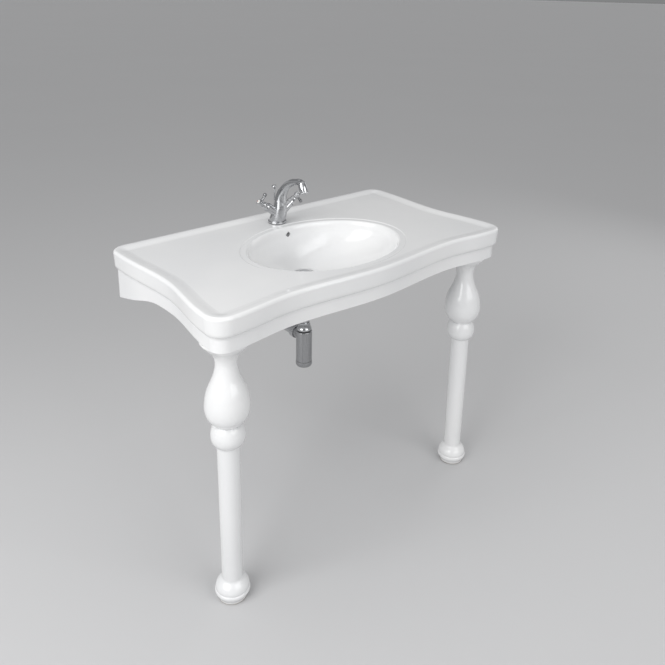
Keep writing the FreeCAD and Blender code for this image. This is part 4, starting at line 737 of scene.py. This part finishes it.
def studio_world(scene, settings):
    """Soft surroundings, pale at eye level, darker above and bright overhead, and brighter on the left."""
    world = bpy.data.worlds.new("studio_world")
    world.use_nodes = True
    tree = world.node_tree
    background = tree.nodes["Background"]
    place = tree.nodes.new("ShaderNodeTexCoord")
    parts = tree.nodes.new("ShaderNodeSeparateXYZ")
    bands = tree.nodes.new("ShaderNodeValToRGB")
    stops = bands.color_ramp.elements
    stops[0].color = (*settings.far_edge, 1.0)
    stops[1].color = (*settings.zenith, 1.0)
    for height, band in ((0.1, settings.horizon), (0.3, settings.shoulder), (0.5, settings.shoulder)):
        stops.new(height).color = (*band, 1.0)
    sides = tree.nodes.new("ShaderNodeMapRange")
    sides.inputs["From Min"].default_value = -1.0
    dimmer = 2.0 / (1.0 + settings.left_light)
    sides.inputs["To Min"].default_value = dimmer * settings.left_light
    sides.inputs["To Max"].default_value = dimmer
    tree.links.new(place.outputs["Generated"], parts.inputs["Vector"])
    tree.links.new(parts.outputs["Z"], bands.inputs["Fac"])
    tree.links.new(parts.outputs["X"], sides.inputs["Value"])
    tree.links.new(bands.outputs["Color"], background.inputs["Color"])
    tree.links.new(sides.outputs["Result"], background.inputs["Strength"])
    scene.world = world


def soft_lamp(name, place, target, width, height, power):
    """A large area lamp that looks at a point."""
    lamp = bpy.data.lights.new(name, "AREA")
    lamp.shape = "RECTANGLE"
    lamp.size = width
    lamp.size_y = height
    lamp.energy = power
    holder = bpy.data.objects.new(name, lamp)
    holder.location = place
    holder.rotation_euler = (Vector(target) - Vector(place)).to_track_quat("-Z", "Y").to_euler()
    bpy.context.scene.collection.objects.link(holder)


LAMP_TARGET = (0.0, 0.0, 0.6)


def studio_lamps(settings):
    """Three large lamps: from the left, from the front and, fainter, from the right."""
    soft_lamp("key_lamp", (-2.6, -0.5, 2.1), LAMP_TARGET, 2.2, 2.2, settings.key_power)
    soft_lamp("fill_lamp", (0.3, -3.1, 2.0), LAMP_TARGET, 2.4, 1.8, settings.fill_power)
    soft_lamp("rim_lamp", (3.1, 0.1, 1.8), LAMP_TARGET, 1.4, 1.8, settings.rim_power)


def studio_camera(scene, settings):
    """A camera that stands and looks as the photograph's did, from a yaw, a pitch and a roll."""
    yaw, pitch, roll = settings.camera_yaw, settings.camera_pitch, settings.camera_roll
    forward = Vector((math.sin(yaw) * math.cos(pitch), math.cos(yaw) * math.cos(pitch), -math.sin(pitch)))
    level = Vector((math.cos(yaw), -math.sin(yaw), 0.0))
    upright = level.cross(forward)
    across = math.cos(roll) * level + math.sin(roll) * upright
    above = -math.sin(roll) * level + math.cos(roll) * upright
    lens = bpy.data.cameras.new("photo_camera")
    lens.sensor_fit = "HORIZONTAL"
    lens.sensor_width = 36.0
    lens.lens = settings.focal_pixels / PHOTO_SIDE * lens.sensor_width
    lens.shift_x = (PHOTO_SIDE / 2 - settings.centre_x) / PHOTO_SIDE
    lens.shift_y = (settings.centre_y - PHOTO_SIDE / 2) / PHOTO_SIDE
    lens.clip_end = 400.0
    camera = bpy.data.objects.new("photo_camera", lens)
    turn = Matrix((across, above, -forward)).transposed().to_4x4()
    camera.matrix_world = Matrix.Translation(settings.camera_place) @ turn
    scene.collection.objects.link(camera)
    scene.camera = camera


class WASHBASIN_PT_pieces(Panel):
    """The sidebar panel with every step of the dressing"""

    bl_idname = "WASHBASIN_PT_pieces"
    bl_label = "Console Washbasin"
    bl_space_type = "VIEW_3D"
    bl_region_type = "UI"
    bl_category = "Washbasin"

    def draw(self, context):
        for operator in OPERATORS:
            self.layout.operator(operator.bl_idname)


GROUPS = {
    "washbasin_ceramic": WASHBASIN_PG_ceramic,
    "washbasin_metal": WASHBASIN_PG_metal,
    "washbasin_soft": WASHBASIN_PG_soft,
    "washbasin_trim": WASHBASIN_PG_trim,
    "washbasin_stage": WASHBASIN_PG_stage,
}
OPERATORS = (WASHBASIN_OT_ceramic, WASHBASIN_OT_metal, WASHBASIN_OT_soft, WASHBASIN_OT_grips,
             WASHBASIN_OT_threads, WASHBASIN_OT_overflow_ring, WASHBASIN_OT_stage)


def register():
    for kind in (*GROUPS.values(), *OPERATORS, WASHBASIN_PT_pieces):
        bpy.utils.register_class(kind)
    for name, group in GROUPS.items():
        setattr(bpy.types.Scene, name, PointerProperty(type=group))


def unregister():
    for name in GROUPS:
        delattr(bpy.types.Scene, name)
    for kind in (WASHBASIN_PT_pieces, *reversed(OPERATORS), *GROUPS.values()):
        bpy.utils.unregister_class(kind)


def main():
    register()
    bpy.ops.washbasin.ceramic()
    bpy.ops.washbasin.metal()
    bpy.ops.washbasin.soft()
    bpy.ops.washbasin.grips()
    bpy.ops.washbasin.threads()
    bpy.ops.washbasin.overflow_ring()
    bpy.ops.washbasin.stage()


if __name__ == "__main__":
    main()
